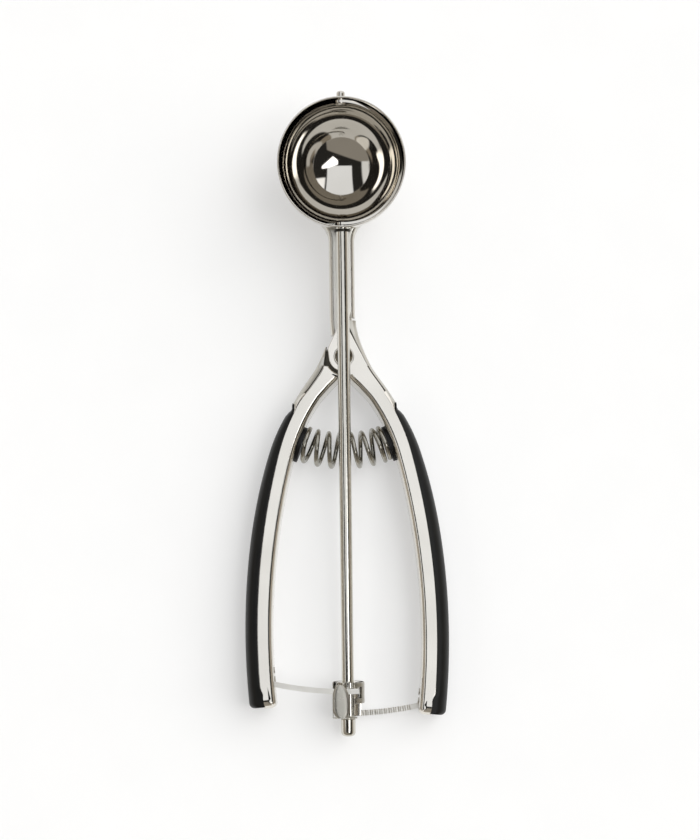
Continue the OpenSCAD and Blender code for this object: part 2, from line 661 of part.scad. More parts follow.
module flare_2d() {
  y = bowl_reach - bowl_r - 0.4 * neck_flare;
  wide = neck_w / 2 + neck_flare * (1 - cos(45));
  for (side = [-1, 1]) polygon(concat([[side * (neck_w / 2 - neck_t), y - 1],
    [side * (neck_w / 2 - neck_t), bowl_reach], [side * wide, bowl_reach]],
    [for (i = [6:-1:0]) [side * (neck_w / 2 + neck_flare * (1 - cos(7.5 * i))),
      y + neck_flare * sin(7.5 * i)]]));
}

// Length of the neck's section between distances y0 and y1 along the shaft, its front at height z
module neck_part(y0, y1, z, w, d, r) translate([0, 0, z]) rotate([90, 0, 0]) translate([0, 0, -y1])
  linear_extrude(y1 - y0) neck_section(w, d, r);

module neck() color([0.68, 0.67, 0.63]) difference() {
  union() {
    shaft_frame() difference() {
      union() {
        neck_part(waist_top, bowl_reach, neck_front, neck_w, neck_d, neck_corner);
        neck_part(0, waist_top + 1, neck_front, waist_w, neck_d, waist_corner);
        translate([0, 0, neck_front - neck_d]) linear_extrude(neck_d - neck_corner) flare_2d();
      }
      neck_part(waist_top + 1, bowl_reach + through, neck_front - neck_t, neck_w - 2 * neck_t,
        neck_d, neck_corner - neck_t);
      neck_part(-through, waist_top + 1.5, neck_front - neck_t, waist_w - 2 * waist_t,
        neck_d, waist_corner - waist_t);
      translate([0, bowl_reach, 0]) sphere(bowl_r - 0.1, $fn = 120);
    }
    at_rest() upright(lug_under - pad_h, lug_under, neck_w / 2);
  }
  at_rest() upright(0, handle_d, rivet_d / 2);
  at_rest() translate([-neck_w, -neck_w, -axis_z])
    cube([2 * neck_w, neck_w * 2, axis_z + 2 * sheet_t + 2 * sheet_play]);
}

// Spring seats and spring
seat_r = spring_d / 2;
spring_z = axis_z - 30 * tan(lean) - shaft_r / cos(lean) - clear - seat_r;
web_in_r = shoulder_r - channel_w;
seat_at = shoulder_c + polar(web_in_r, seat_lean);
module seat() intersection() {
  translate([seat_at[0], seat_at[1], spring_z]) rotate(seat_lean)
    rotate([0, -90, 0]) cylinder(h = seat_t, r = seat_r);
  translate([shoulder_c[0], shoulder_c[1], spring_z - seat_r - through])
    cylinder(h = 2 * (seat_r + through), r = web_in_r - 0.03);
}
module left_spring_seat() color([0.08, 0.08, 0.08]) at_rest() mirror([1, 0, 0]) seat();
module right_spring_seat() color([0.08, 0.08, 0.08]) at_rest() seat();

// The spring's axis is an arc that meets both seats square. Its wire is laid out on the unrolled
// coil: w runs round the coil and s along the arc, from the left seat to the right one.
end_at = seat_at - polar(seat_t, seat_lean);
bend_r = end_at[0] / sin(seat_lean);
bend_y = end_at[1] + bend_r * cos(seat_lean);
coil_r = spring_d / 2 - wire_d / 2;
span = arc_len(bend_r, 2 * seat_lean);
elbow = 0.75 * wire_d;
end_s = wire_d + elbow;
closed_pitch = wire_d + closed_gap;
open_pitch = (span - 2 * end_s - closed_pitch) / (turns - 1);
round_w = 2 * PI * coil_r;
function coil_s(u) = end_s + open_pitch * min(u, turns - 1) + closed_pitch * max(0, u - turns + 1);
function lane(per_turn) = concat(
  [[0, 0.02], [0, wire_d]],
  [for (i = [1:3]) [elbow * (1 - cos(22.5 * i)), wire_d + elbow * sin(22.5 * i)]],
  [for (i = [0:turns * per_turn]) let (u = i / per_turn)
    [elbow + u * round_w, coil_s(u)]],
  [for (i = [3:-1:1]) [2 * elbow + turns * round_w - elbow * (1 - cos(22.5 * i)),
    span - wire_d - elbow * sin(22.5 * i)]],
  [[2 * elbow + turns * round_w, span - wire_d], [2 * elbow + turns * round_w, span - 0.02]]);
function coil_out(w) = let (a = 90 - w / coil_r * 180 / PI) [cos(a), sin(a)];
function coil_dir(q) = let (t = q[1] / bend_r * 180 / PI - seat_lean, c = coil_out(q[0]))
  [c[0] * sin(t), -c[0] * cos(t), c[1]];
function coil_at(q) = let (t = q[1] / bend_r * 180 / PI - seat_lean, c = coil_out(q[0]),
  r = bend_r + coil_r * c[0]) [r * sin(t), bend_y - r * cos(t), spring_z + coil_r * c[1]];

// Side faces and end faces of a row of rings with n corners each
function row_faces(rows, n) = [for (i = [0:rows - 2]) for (j = [0:n - 1]) for (f = [0:1])
  let (k = (j + 1) % n, a = i * n, b = a + n) f == 0 ? [a + j, b + j, b + k] : [a + j, b + k, a + k]];

module tube(path, r, sides) {
  at = [for (q = path) coil_at(q)];
  n = len(path);
  rings = [for (i = [0:n - 1]) let (
    t = at[min(i + 1, n - 1)] - at[max(i - 1, 0)], x = coil_dir(path[i]), y = cross(t / norm(t), x))
    for (j = [0:sides - 1]) at[i] + r * (cos(360 * j / sides) * x + sin(360 * j / sides) * y / norm(y))];
  polyhedron(rings, concat(row_faces(n, sides),
    [for (j = [1:sides - 2]) [0, j, j + 1]],
    [for (j = [1:sides - 2]) (n - 1) * sides * [1, 1, 1] + [0, j + 1, j]]));
}

module spring() color([0.8, 0.79, 0.76]) at_rest() tube(lane(8), wire_d / 2, 6);

// Least gap between two turns of the wire, measured on 24 points per turn
fine = [for (q = lane(24)) coil_at(q)];
spring_gap = min([for (i = [0:len(fine) - 1]) for (j = [i + 14:len(fine) - 1]) norm(fine[i] - fine[j])])
  - wire_d;
echo(least_spring_gap = spring_gap);

bowl();
neck();
pivot_rivet();
pivot_spacer();
rack_guide();
spring();
left_handle();
left_grip();
left_rack();
left_rack_rivets();
left_spring_seat();
right_handle();
right_grip();
right_rack();
right_rack_rivets();
right_spring_seat();
shaft();
pinion();
scraper();
scraper_pin();
shaft_collar();
shaft_end_cap();
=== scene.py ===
import bpy
import bmesh
import math
from mathutils import Matrix, Vector


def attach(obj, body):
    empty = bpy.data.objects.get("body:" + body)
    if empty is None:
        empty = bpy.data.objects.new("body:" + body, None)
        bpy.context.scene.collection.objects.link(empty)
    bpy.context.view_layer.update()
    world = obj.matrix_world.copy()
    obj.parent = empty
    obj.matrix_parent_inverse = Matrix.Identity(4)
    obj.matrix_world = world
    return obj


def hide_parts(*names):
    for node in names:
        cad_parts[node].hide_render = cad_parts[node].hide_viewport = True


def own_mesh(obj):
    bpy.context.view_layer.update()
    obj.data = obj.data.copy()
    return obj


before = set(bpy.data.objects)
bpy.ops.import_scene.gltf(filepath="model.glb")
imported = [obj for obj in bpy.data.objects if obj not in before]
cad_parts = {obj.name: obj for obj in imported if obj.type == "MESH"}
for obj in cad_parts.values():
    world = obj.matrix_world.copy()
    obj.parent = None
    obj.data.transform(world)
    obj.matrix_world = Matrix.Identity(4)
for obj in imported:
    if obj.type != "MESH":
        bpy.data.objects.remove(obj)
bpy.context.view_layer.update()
print("stage: frame loaded")

# Lengths here are in millimetres, in the frame of the record, and become metres in addPiece. The rivet is at
# pivotY and the flat handles are as high as depth. The shaft leans up from the racks and passes the rivet at axisZ.
mm = 0.001
pivotY = 20.4783
depth = 14.0
axisZ = 17.625
lean = math.radians(5.3108)


# Point at radius r and at an angle in degrees
def polar(r, a):
    a = math.radians(a)
    return Vector((r * math.cos(a), r * math.sin(a)))


def arcLen(r, a):
    return r * math.radians(a)


def lerp(a, b, t):
    return a + (b - a) * t


def smooth(t):
    t = min(1.0, max(0.0, t))
    return t * t * (3 - 2 * t)


# Point given along and across the shaft's axis, from the rivet
def shaftPoint(x, y, z):
    return (x, pivotY + y * math.cos(lean) - z * math.sin(lean), axisZ + y * math.sin(lean) + z * math.cos(lean))


# Materials

def linear(hexColour):
    out = []
    for i in (0, 2, 4):
        c = int(hexColour[i:i + 2], 16) / 255
        out.append(c / 12.92 if c <= 0.04045 else ((c + 0.055) / 1.055) ** 2.4)
    return (*out, 1.0)


def newMaterial(name):
    mat = bpy.data.materials.new(name)
    mat.use_nodes = True
    tree = mat.node_tree
    tree.nodes.clear()
    return mat, tree


def addNode(tree, kind, values=None, links=None, **props):
    node = tree.nodes.new(kind)
    for key, value in props.items():
        setattr(node, key, value)
    for key, value in (values or {}).items():
        node.inputs[key].default_value = value
    for key, source in (links or {}).items():
        tree.links.new(source, node.inputs[key])
    return node


def colourRamp(tree, source, stops):
    node = addNode(tree, "ShaderNodeValToRGB", links={"Fac": source})
    ramp = node.color_ramp
    while len(ramp.elements) < len(stops):
        ramp.elements.new(0.5)
    for element, (at, colour) in zip(ramp.elements, stops):
        element.position = at
        element.color = colour
    return node


def noise(tree, coords, scale, stretch=(1, 1, 1), detail=3.0, rough=0.55):
    mapping = addNode(tree, "ShaderNodeMapping", values={"Scale": stretch}, links={"Vector": coords})
    return addNode(tree, "ShaderNodeTexNoise", values={"Scale": scale, "Detail": detail, "Roughness": rough},
                   links={"Vector": mapping.outputs["Vector"]})


def roughness(tree, source, look):
    least, most = look["rough"]
    return addNode(tree, "ShaderNodeMapRange", links={"Value": source},
                   values={"From Min": 0.3, "From Max": 0.7, "To Min": least, "To Max": most})


# Steel: a tint that drifts a little, fine brush lines along one direction, and a shallow waviness.
def steelMaterial(name, look):
    mat, tree = newMaterial(name)
    coords = addNode(tree, "ShaderNodeTexCoord").outputs["Object"]
    tint = noise(tree, coords, 45, detail=2.0).outputs["Fac"]
    colour = colourRamp(tree, tint, [(0.3, linear(look["dark"])), (0.7, linear(look["light"]))])
    lines = noise(tree, coords, look["lineScale"], stretch=look["lineStretch"], detail=4.0).outputs["Fac"]
    rough = roughness(tree, lines, look)
    wave = noise(tree, coords, look["waveScale"], detail=1.0).outputs["Fac"]
    bump = addNode(tree, "ShaderNodeBump", values={"Strength": look["wave"], "Distance": 0.0004},
                   links={"Height": wave})
    fine = addNode(tree, "ShaderNodeBump", values={"Strength": look["scratch"], "Distance": 0.00002},
                   links={"Height": lines, "Normal": bump.outputs["Normal"]})
    shader = addNode(tree, "ShaderNodeBsdfPrincipled", values={"Metallic": 1.0},
                     links={"Base Color": colour.outputs["Color"], "Roughness": rough.outputs["Result"],
                            "Normal": fine.outputs["Normal"]})
    addNode(tree, "ShaderNodeOutputMaterial", links={"Surface": shader.outputs["BSDF"]})
    return mat


# Moulded rubber or plastic: a fine pebbled skin with small changes of gloss.
def mouldedMaterial(name, look):
    mat, tree = newMaterial(name)
    coords = addNode(tree, "ShaderNodeTexCoord").outputs["Object"]
    tint = noise(tree, coords, 90, detail=3.0).outputs["Fac"]
    colour = colourRamp(tree, tint, [(0.3, linear(look["dark"])), (0.7, linear(look["light"]))])
    grain = noise(tree, coords, look["grainScale"], detail=5.0).outputs["Fac"]
    rough = roughness(tree, tint, look)
    bump = addNode(tree, "ShaderNodeBump", values={"Strength": look["grain"], "Distance": 0.00005},
                   links={"Height": grain})
    shader = addNode(tree, "ShaderNodeBsdfPrincipled", values={"IOR": 1.36},
                     links={"Base Color": colour.outputs["Color"], "Roughness": rough.outputs["Result"],
                            "Normal": bump.outputs["Normal"]})
    addNode(tree, "ShaderNodeOutputMaterial", links={"Surface": shader.outputs["BSDF"]})
    return mat


mirrorSteel = steelMaterial("mirror polished steel", {
    "dark": "cdc9c1", "light": "dad6cf", "rough": (0.03, 0.07), "lineScale": 260, "lineStretch": (1, 1, 1),
    "waveScale": 30, "wave": 0.02, "scratch": 0.15})
sheetSteel = steelMaterial("polished steel sheet", {
    "dark": "dcd8d0", "light": "e8e4dc", "rough": (0.08, 0.15), "lineScale": 420, "lineStretch": (6, 0.25, 6),
    "waveScale": 40, "wave": 0.05, "scratch": 0.3})
satinSteel = steelMaterial("satin brushed steel", {
    "dark": "bcb8ae", "light": "d0ccc2", "rough": (0.34, 0.46), "lineScale": 500, "lineStretch": (8, 0.2, 8),
    "waveScale": 60, "wave": 0.1, "scratch": 0.5})
rodSteel = steelMaterial("bright drawn steel rod", {
    "dark": "ccc9c0", "light": "d9d6ce", "rough": (0.07, 0.13), "lineScale": 600, "lineStretch": (10, 0.15, 10),
    "waveScale": 50, "wave": 0.03, "scratch": 0.3})
platedSteel = steelMaterial("bright plated steel", {
    "dark": "cfccc4", "light": "e4e1da", "rough": (0.1, 0.24), "lineScale": 700, "lineStretch": (1, 1, 1),
    "waveScale": 160, "wave": 0.25, "scratch": 0.5})
wireSteel = steelMaterial("bright spring wire", {
    "dark": "9b988f", "light": "b0ada4", "rough": (0.07, 0.14), "lineScale": 900, "lineStretch": (1, 1, 1),
    "waveScale": 80, "wave": 0.05, "scratch": 0.3})
rackSteel = steelMaterial("bright bead blasted steel", {
    "dark": "dad7d0", "light": "eceae4", "rough": (0.34, 0.48), "lineScale": 900, "lineStretch": (1, 1, 1),
    "waveScale": 200, "wave": 0.1, "scratch": 0.6})
guideSteel = steelMaterial("dull plated steel", {
    "dark": "b4b1a8", "light": "c2bfb6", "rough": (0.26, 0.36), "lineScale": 700, "lineStretch": (1, 1, 1),
    "waveScale": 60, "wave": 0.05, "scratch": 0.15})
neckSteel = steelMaterial("fine brushed steel", {
    "dark": "d6d4cc", "light": "e2dfd8", "rough": (0.26, 0.36), "lineScale": 500, "lineStretch": (8, 0.2, 8),
    "waveScale": 60, "wave": 0.06, "scratch": 0.3})
# Darker, rougher copy of the sheet steel for the handles' side walls and the left corner filler: painted shade
shadedWallSteel = steelMaterial("shaded matt steel edge", {
    "dark": "c2c0b8", "light": "cecbc3", "rough": (0.3, 0.4), "lineScale": 500, "lineStretch": (1, 1, 1),
    "waveScale": 60, "wave": 0.05, "scratch": 0.3})
# Near-black steel: painted shade in the left arm's crevice and as dark lines along creases and edges, and the
# colour of the dark ring under the bowl's rim
darkSteelAndShade = steelMaterial("dark steel and painted shade", {
    "dark": "2b2925", "light": "45423b", "rough": (0.3, 0.45), "lineScale": 600, "lineStretch": (1, 1, 1),
    "waveScale": 80, "wave": 0.1, "scratch": 0.4})
gripRubber = mouldedMaterial("semi matt black rubber", {
    "dark": "0b0b0a", "light": "11110f", "rough": (0.36, 0.48), "grainScale": 2600, "grain": 0.35})
blackPlastic = mouldedMaterial("black moulded plastic", {
    "dark": "060606", "light": "0b0b0a", "rough": (0.4, 0.55), "grainScale": 1800, "grain": 0.3})
print("stage: materials")


# Mesh helpers. A part is (vertices, faces), with a third item where its faces have several materials: the index
# of the material, as one number or as a list with one for each face.

def addSolid(bm, part, flip=False):
    made = [bm.verts.new((-v[0] if flip else v[0], v[1], v[2])) for v in part[0]]
    marks = part[2] if len(part) > 2 else 0
    for k, face in enumerate(part[1]):
        if len(set(face)) > 2:
            bm.faces.new([made[i] for i in face]).material_index = marks[k] if isinstance(marks, list) else marks


def weld(bm):
    bmesh.ops.remove_doubles(bm, verts=bm.verts, dist=0.0005)
    bmesh.ops.dissolve_degenerate(bm, edges=bm.edges, dist=0.0003)
    bmesh.ops.recalc_face_normals(bm, faces=bm.faces)


def addPiece(name, parts, material, body, nodes=(), sharp=35.0, flip=False):
    mesh = bpy.data.meshes.new(name)
    bm = bmesh.new()
    for part in parts:
        addSolid(bm, part, flip)
    weld(bm)
    bmesh.ops.scale(bm, verts=bm.verts, vec=(mm, mm, mm))
    for face in bm.faces:
        face.smooth = True
    limit = math.radians(sharp)
    for edge in bm.edges:
        if len(edge.link_faces) == 2 and edge.calc_face_angle(0) > limit:
            edge.smooth = False
    bm.to_mesh(mesh)
    bm.free()
    obj = bpy.data.objects.new(name, mesh)
    bpy.context.scene.collection.objects.link(obj)
    for one in material if isinstance(material, list) else [material]:
        mesh.materials.append(one)
    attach(obj, body)
    if nodes:
        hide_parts(*nodes)
    return obj


# Closed solid from columns of points that run from front to back, in order round the outline
def ringSolid(columns):
    rows = len(columns[0])
    n = len(columns)
    verts = [p for column in columns for p in column]
    faces = []
    for i in range(n):
        j = (i + 1) % n
        for k in range(rows - 1):
            faces.append((i * rows + k, j * rows + k, j * rows + k + 1, i * rows + k + 1))
    faces.append([i * rows for i in range(n)])
    faces.append([i * rows + rows - 1 for i in reversed(range(n))])
    return verts, faces


# Solid of revolution: profile points (r, h), placed by the function place(x, y, h)
def latheSolid(profile, segments, place, closed=True):
    verts = []
    for r, h in profile:
        for j in range(segments):
            a = 2 * math.pi * j / segments
            verts.append(place(r * math.cos(a), r * math.sin(a), h))
    faces = []
    m = len(profile)
    for i in range(m if closed else m - 1):
        i2 = (i + 1) % m
        if profile[i][0] < 1e-6 and profile[i2][0] < 1e-6:
            continue
        for j in range(segments):
            j2 = (j + 1) % segments
            faces.append((i * segments + j, i * segments + j2, i2 * segments + j2, i2 * segments + j))
    return verts, faces


# Plate with rounded edges from a closed 2D outline; seam vertices keep a square edge
def plateSolid(points, low, high, edge, seam=(), steps=4):
    n = len(points)
    pairs = [(points[i], points[(i + 1) % n]) for i in range(n)]
    turn = 1 if sum(p[0] * q[1] - q[0] * p[1] for p, q in pairs) > 0 else -1
    columns = []
    for i in range(n):
        a = Vector(points[i - 1])
        b = Vector(points[i])
        c = Vector(points[(i + 1) % n])
        d1 = (b - a).normalized()
        d2 = (c - b).normalized()
        n1 = Vector((-d1.y, d1.x)) * turn
        n2 = Vector((-d2.y, d2.x)) * turn
        miter = n1 + n2
        miter = miter.normalized() / max(0.5, miter.length / 2) if miter.length > 1e-6 else n1
        column = []
        for k in range(steps + 1):
            t = math.pi / 2 * k / steps
            inset = 0 if i in seam else edge * (1 - math.sin(t))
            p = b + miter * inset
            column.append((p.x, p.y, high - edge * (1 - math.cos(t))))
        back = [(x, y, low + high - z) for x, y, z in reversed(column)]
        columns.append(column + back)
    return ringSolid(columns)


# Tube along a path, with its ends closed
def tubeSolid(path, radius, sides):
    verts, faces = [], []
    n = len(path)
    side = None
    for i, p in enumerate(path):
        tangent = (path[min(i + 1, n - 1)] - path[max(i - 1, 0)]).normalized()
        if side is None:
            side = tangent.orthogonal().normalized()
        side = (side - tangent * side.dot(tangent)).normalized()
        other = tangent.cross(side)
        for j in range(sides):
            a = 2 * math.pi * j / sides
            verts.append(p + (side * math.cos(a) + other * math.sin(a)) * radius)
    for i in range(n - 1):
        for j in range(sides):
            j2 = (j + 1) % sides
            faces.append((i * sides + j, (i + 1) * sides + j, (i + 1) * sides + j2, i * sides + j2))
    faces.append([j for j in reversed(range(sides))])
    faces.append([(n - 1) * sides + j for j in range(sides)])
    return verts, faces


# Solid swept through closed sections that have the same number of points, with both ends closed
def sweptSolid(sections):
    n = len(sections[0])
    last = len(sections) - 1
    verts = [p for section in sections for p in section]
    faces = [(i * n + k, i * n + (k + 1) % n, (i + 1) * n + (k + 1) % n, (i + 1) * n + k)
             for i in range(last) for k in range(n)]
    faces.append(list(range(n)))
    faces.append([last * n + k for k in reversed(range(n))])
    return verts, faces


# Part with the cutter's solid taken out of it. The empty material places keep the marks of its faces.
def cutPart(part, cutter):
    objects = []
    for solid in (part, cutter):
        mesh = bpy.data.meshes.new("cutting")
        bm = bmesh.new()
        addSolid(bm, solid)
        weld(bm)
        bm.to_mesh(mesh)
        bm.free()
        for k in range(3):
            mesh.materials.append(None)
        objects.append(bpy.data.objects.new("cutting", mesh))
        bpy.context.scene.collection.objects.link(objects[-1])
    cut = objects[0].modifiers.new("slot", "BOOLEAN")
    cut.operation = "DIFFERENCE"
    cut.solver = "MANIFOLD"
    cut.object = objects[1]
    shown = objects[0].evaluated_get(bpy.context.evaluated_depsgraph_get())
    done = bpy.data.meshes.new_from_object(shown)
    made = ([tuple(v.co) for v in done.vertices], [tuple(f.vertices) for f in done.polygons],
            [f.material_index for f in done.polygons])
    for obj in objects:
        bpy.data.objects.remove(obj)
    return made


# Part moved along y; a part without marks gets the one index for all its faces
def moved(part, dy, index=0):
    return [(v[0], v[1] + dy, v[2]) for v in part[0]], part[1], part[2] if len(part) > 2 else index


# Outline of a handle: stations (x, y, lean, length from the grip's point), for the right handle. From the rivet
# down it has a root curve, a straight arm, a shoulder, and a bow that ends at the foot.
handle = {"root": (7.16, -3.55), "rootR": 24, "shoulderR": 64, "bowR": 235, "armLen": 5, "rootLean": 27,
          "armLean": 35.7, "tipLean": 30, "joinLean": 14.9, "width": 5.0, "gusset": 1.7, "band": 1.9, "taper": 3.0,
          "bend": 1.9, "wall": 0.8, "footR": 1.7, "footBend": 2.9, "wrapFrom": 6.2, "wrapEase": 0.7,
          "leftFoot": 116.1, "rightFoot": 118.9, "leftTop": 25.5, "leftCrease": 0.0, "rightCrease": 0.9}
h = handle
root = Vector(h["root"])
rootC = root + polar(h["rootR"], h["rootLean"])
armTop = rootC - polar(h["rootR"], h["armLean"])
armDown = Vector((math.sin(math.radians(h["armLean"])), -math.cos(math.radians(h["armLean"]))))
armEnd = armTop + armDown * h["armLen"]
shoulderC = armEnd - polar(h["shoulderR"], h["armLean"])
bowC = shoulderC + polar(h["shoulderR"] - h["bowR"], h["joinLean"])
armS = -arcLen(h["shoulderR"], h["armLean"] - h["tipLean"])
rootS = armS - h["armLen"] - arcLen(h["rootR"], h["armLean"] - h["rootLean"])
joinS = arcLen(h["shoulderR"], h["tipLean"] - h["joinLean"])


def station(c, r, a, s):
    p = c + polar(r, a)
    return (p.x, p.y, a, s)


def rootStation(a):
    return station(rootC, -h["rootR"], a, rootS + arcLen(h["rootR"], a - h["rootLean"]))


def shoulderStation(a):
    return station(shoulderC, h["shoulderR"], a, arcLen(h["shoulderR"], h["tipLean"] - a))


def bowStation(a):
    return station(bowC, h["bowR"], a, joinS + arcLen(h["bowR"], h["joinLean"] - a))


def footLean(foot):
    return math.degrees(math.asin((-foot - bowC.y) / h["bowR"]))


# Stations from the lean start at the root down to the foot
def outline(foot, start):
    rows = [rootStation(lerp(start, h["armLean"], i / 5)) for i in range(6)]
    rows += [shoulderStation(lerp(h["armLean"], h["tipLean"], i / 4)) for i in range(5)]
    rows += [shoulderStation(h["tipLean"] - math.degrees(h["taper"] * i / 4 / h["shoulderR"]))
             for i in range(1, 5)]
    first = h["tipLean"] - math.degrees(h["taper"] / h["shoulderR"])
    rows += [shoulderStation(lerp(first, h["joinLean"], i / 9)) for i in range(1, 10)]
    rows += [bowStation(lerp(h["joinLean"], footLean(foot), i / 36)) for i in range(1, 37)]
    return rows


# Point at distance d outside a station of the outline
def off(q, d):
    return Vector((q[0], q[1])) + polar(d, q[2])


# Share of the bare steel band outside the crease, which tapers out under the grip's point
def bandShare(s):
    return 1 - smooth(s / h["taper"]) if s > 0 else 1.0


def webWidth(s):
    u = max(0.0, (armS - s) / (armS - rootS))
    return h["width"] + h["gusset"] * u * u


# Rows (distance inwards, height) round a folded edge, as far as half the depth
def foldRows(radius):
    rows = [(radius + 0.5, depth)]
    for k in range(8):
        t = math.pi / 2 * k / 7
        rows.append((radius * (1 - math.sin(t)), depth - radius * (1 - math.cos(t))))
    rows.append((0.0, depth / 2))
    return rows


# Rows (distance from the outline, height) of the outer edge: beside the grip, and where the arm is bare
mouthRows = [(-0.8, 14), (-0.15, 14), (-0.04, 13.96), (0, 13.85), (0, 13.3), (0, 12.8), (0, 12.4), (0, 12.2),
             (0, 12), (0, 7)]
plainRows = [(-0.8, 14), (-0.2, 14), (0.2, 13.94), (0.6, 13.75), (1.0, 13.42), (1.35, 13.0), (1.62, 12.5),
             (1.82, 11.9), (1.9, 11.2), (1.9, 7)]


# Side wall of the arm outside its crease, with the crease at distance c from the outline
def creaseRows(c):
    w = h["band"] - c
    return [(c - 0.8, 14), (c - 0.42, 13.98), (c - 0.28, 13.9), (c - 0.05, 13.45), (c + 0.16, 13.38),
            (c + w * 0.3, 13.25), (c + w * 0.6, 12.9), (c + w * 0.85, 12.4), (1.9, 11.6), (1.9, 7)]


# Front half of a column with its mirror image behind it
def fullColumn(rows):
    return rows + [(x, y, depth - z) for x, y, z in reversed(rows[:-1])]


# Folded sheet of a handle: columns down its inner wall, round the foot and up its outer edge, and on the left
# handle also round topArc (radius, first and last angle) at the rivet. Marks 1 are painted shade: dark lines
# along the crease; marks 2 are painted shade too: a darker steel on the side wall.
def handleShell(foot, start, topArc, crease):
    columns = []
    shadeCreases = []
    shadedWalls = []
    fold = foldRows(h["bend"])
    bandRows = creaseRows(crease)
    rows = outline(foot, start)
    endS = rows[-1][3]
    for q in rows:
        if q[3] > endS - h["footR"] or q[3] < rootS - 0.01:
            continue
        base = off(q, -webWidth(q[3]))
        out = polar(1, q[2])
        columns.append(fullColumn([(base.x + out.x * t, base.y + out.y * t, z) for t, z in fold]))
    last = rows[-1]
    out = polar(1, last[2])
    down = Vector((out.y, -out.x))
    end = Vector((last[0], last[1]))
    c = end - down * h["footR"] - out * (h["width"] - h["footR"])
    for k in range(9):
        t = math.pi / 2 * k / 8
        d = -out * math.cos(t) + down * math.sin(t)
        turnRows = foldRows(lerp(h["bend"], h["footBend"], smooth(k / 8)))
        columns.append(fullColumn([(c.x + d.x * (h["footR"] - i), c.y + d.y * (h["footR"] - i), z)
                                   for i, z in turnRows]))
    for step in (3, 2, 1):
        p = end - out * (h["wall"] * step)
        columns.append(fullColumn([(p.x - down.x * i, p.y - down.y * i, z) for i, z in turnRows]))
    for q in reversed(rows):
        if q[3] > endS - h["footBend"] - 0.6:
            continue
        wrap = h["wall"] * smooth((q[3] - endS + h["wrapFrom"]) / h["wrapEase"])
        f = bandShare(q[3])
        line = smooth((-2 - q[3]) / 5)
        column = []
        for (m, mz), (b, bz), (u, uz) in zip(mouthRows, bandRows, plainRows):
            p = off(q, lerp(m, lerp(u, b, line), f) - wrap)
            column.append((p.x, p.y, lerp(mz, lerp(uz, bz, line), f)))
        if line > 0.3:
            shadeCreases.append(len(columns))
        if f > 0.3:
            shadedWalls.append(len(columns))
        columns.append(fullColumn(column))
    if topArc:
        edge = foldRows(h["wall"])
        for k in range(13):
            a = lerp(topArc[1], topArc[2], k / 12)
            columns.append(fullColumn([(*polar(topArc[0] + i, a), z) for i, z in edge]))
    verts, faces = ringSolid(columns)
    strips = len(columns[0]) - 1
    # Painted shade: dark strips along the crease and a darker steel over the side wall
    marks = [0] * len(faces)
    for k in range(len(columns) * strips):
        column, strip = divmod(k, strips)
        if column in shadeCreases and strip in (2, 3, strips - 4, strips - 3):
            marks[k] = 1
        elif column in shadedWalls and 3 < strip < strips - 4:
            marks[k] = 2
    return verts, faces, marks


# Thin wall of an arm beside the neck, with a shoulder that leads to the lug's edge on the right arm
horn = {"top": 12.2, "x": 4.1, "thick": 0.5, "left": 3.3, "leftEdge": 5.85, "leftZ": 13.3}
q0 = rootStation(h["rootLean"])
hornFoot = off(q0, h["band"])
hornBend = math.tan(math.radians(h["rootLean"])) * (horn["top"] - hornFoot.y) / (hornFoot.x - horn["x"])


def hornX(y):
    t = max(0.0, horn["top"] - y) / (horn["top"] - hornFoot.y)
    return horn["x"] + (hornFoot.x - horn["x"]) * t ** hornBend


def hornShell(top, edgeX, high):
    sections = []
    for i in range(21):
        y = lerp(hornFoot.y - 0.6, top, i / 20)
        x = hornX(y) if y > hornFoot.y else hornFoot.x + (hornFoot.y - y) * 0.5
        e = min(edgeX(y), x - 0.7)
        z = high(y)
        front = [(e, z), (lerp(e, x, 0.3), z - 0.08), (lerp(e, x, 0.62), z - 0.35), (lerp(e, x, 0.84), z - 0.8),
                 (x - 0.04, z - 1.45), (x, z - 2.1)]
        back = x - horn["thick"]
        inner = [(back, z - 2.1), (back - 0.05, z - 1.35), (lerp(e, back, 0.6), z - 0.95), (e, z - 0.6)]
        ring = [(px, y, pz) for px, pz in front] + [(px, y, depth - pz) for px, pz in reversed(front)]
        ring += [(px, y, depth - pz) for px, pz in reversed(inner)] + [(px, y, pz) for px, pz in inner]
        sections.append(ring)
    verts, faces = sweptSolid(sections)
    ends = len(faces) - 2
    # The first strip of each section is painted dark as a shade line; the rest takes the darker wall steel as
    # painted shade
    return verts, faces, [1 if k % len(ring) == 0 and k < ends else 2 for k in range(len(faces))]


def circlePoints(r, a0, a1, n, centre=(0, 0)):
    return [(centre[0] + p.x, centre[1] + p.y) for p in (polar(r, lerp(a0, a1, i / n)) for i in range(n + 1))]


# Right lug with its heel and point, and the left lug below it, built from arcs (radius, angles, steps) round the
# rivet. Each lug is a plate at the front and one at the back, and a filler closes the left arm's corner.
lug = {"r": 5.0, "heel": (-2.9, 2.3), "heelR": 2.4, "point": 18.2,
       "arcs": [(6.1, -12, 24, 8), (4.9, 50, 200, 20), (5.6, 201, 240, 10)],
       "corner": [(6.0, -0.4), (6.6, 0.4), (8.0, -1.7), (8.5, -3.3), (7.5, -5.0), (5.9, -3.7)],
       "rightFront": (13, 14), "rightBack": (0, 1), "leftFront": (11.9, 12.9), "leftBack": (1.1, 2.1),
       "cornerZ": (12.4, 13.2)}
up = Vector((-math.sin(math.radians(h["rootLean"])), math.cos(math.radians(h["rootLean"]))))
edge0 = h["rightCrease"] - 0.1
tip = off(q0, edge0) + up * lug["point"]
toTip = tip - Vector(lug["heel"])
tangent = math.degrees(math.atan2(toTip.y, toTip.x) + math.acos(lug["heelR"] / toTip.length))
rightLug = [tuple(off(q0, edge0) + up * t) for t in (0, 6, 12, 17.2)] + [tuple(tip + Vector((-0.1, -0.3)))]
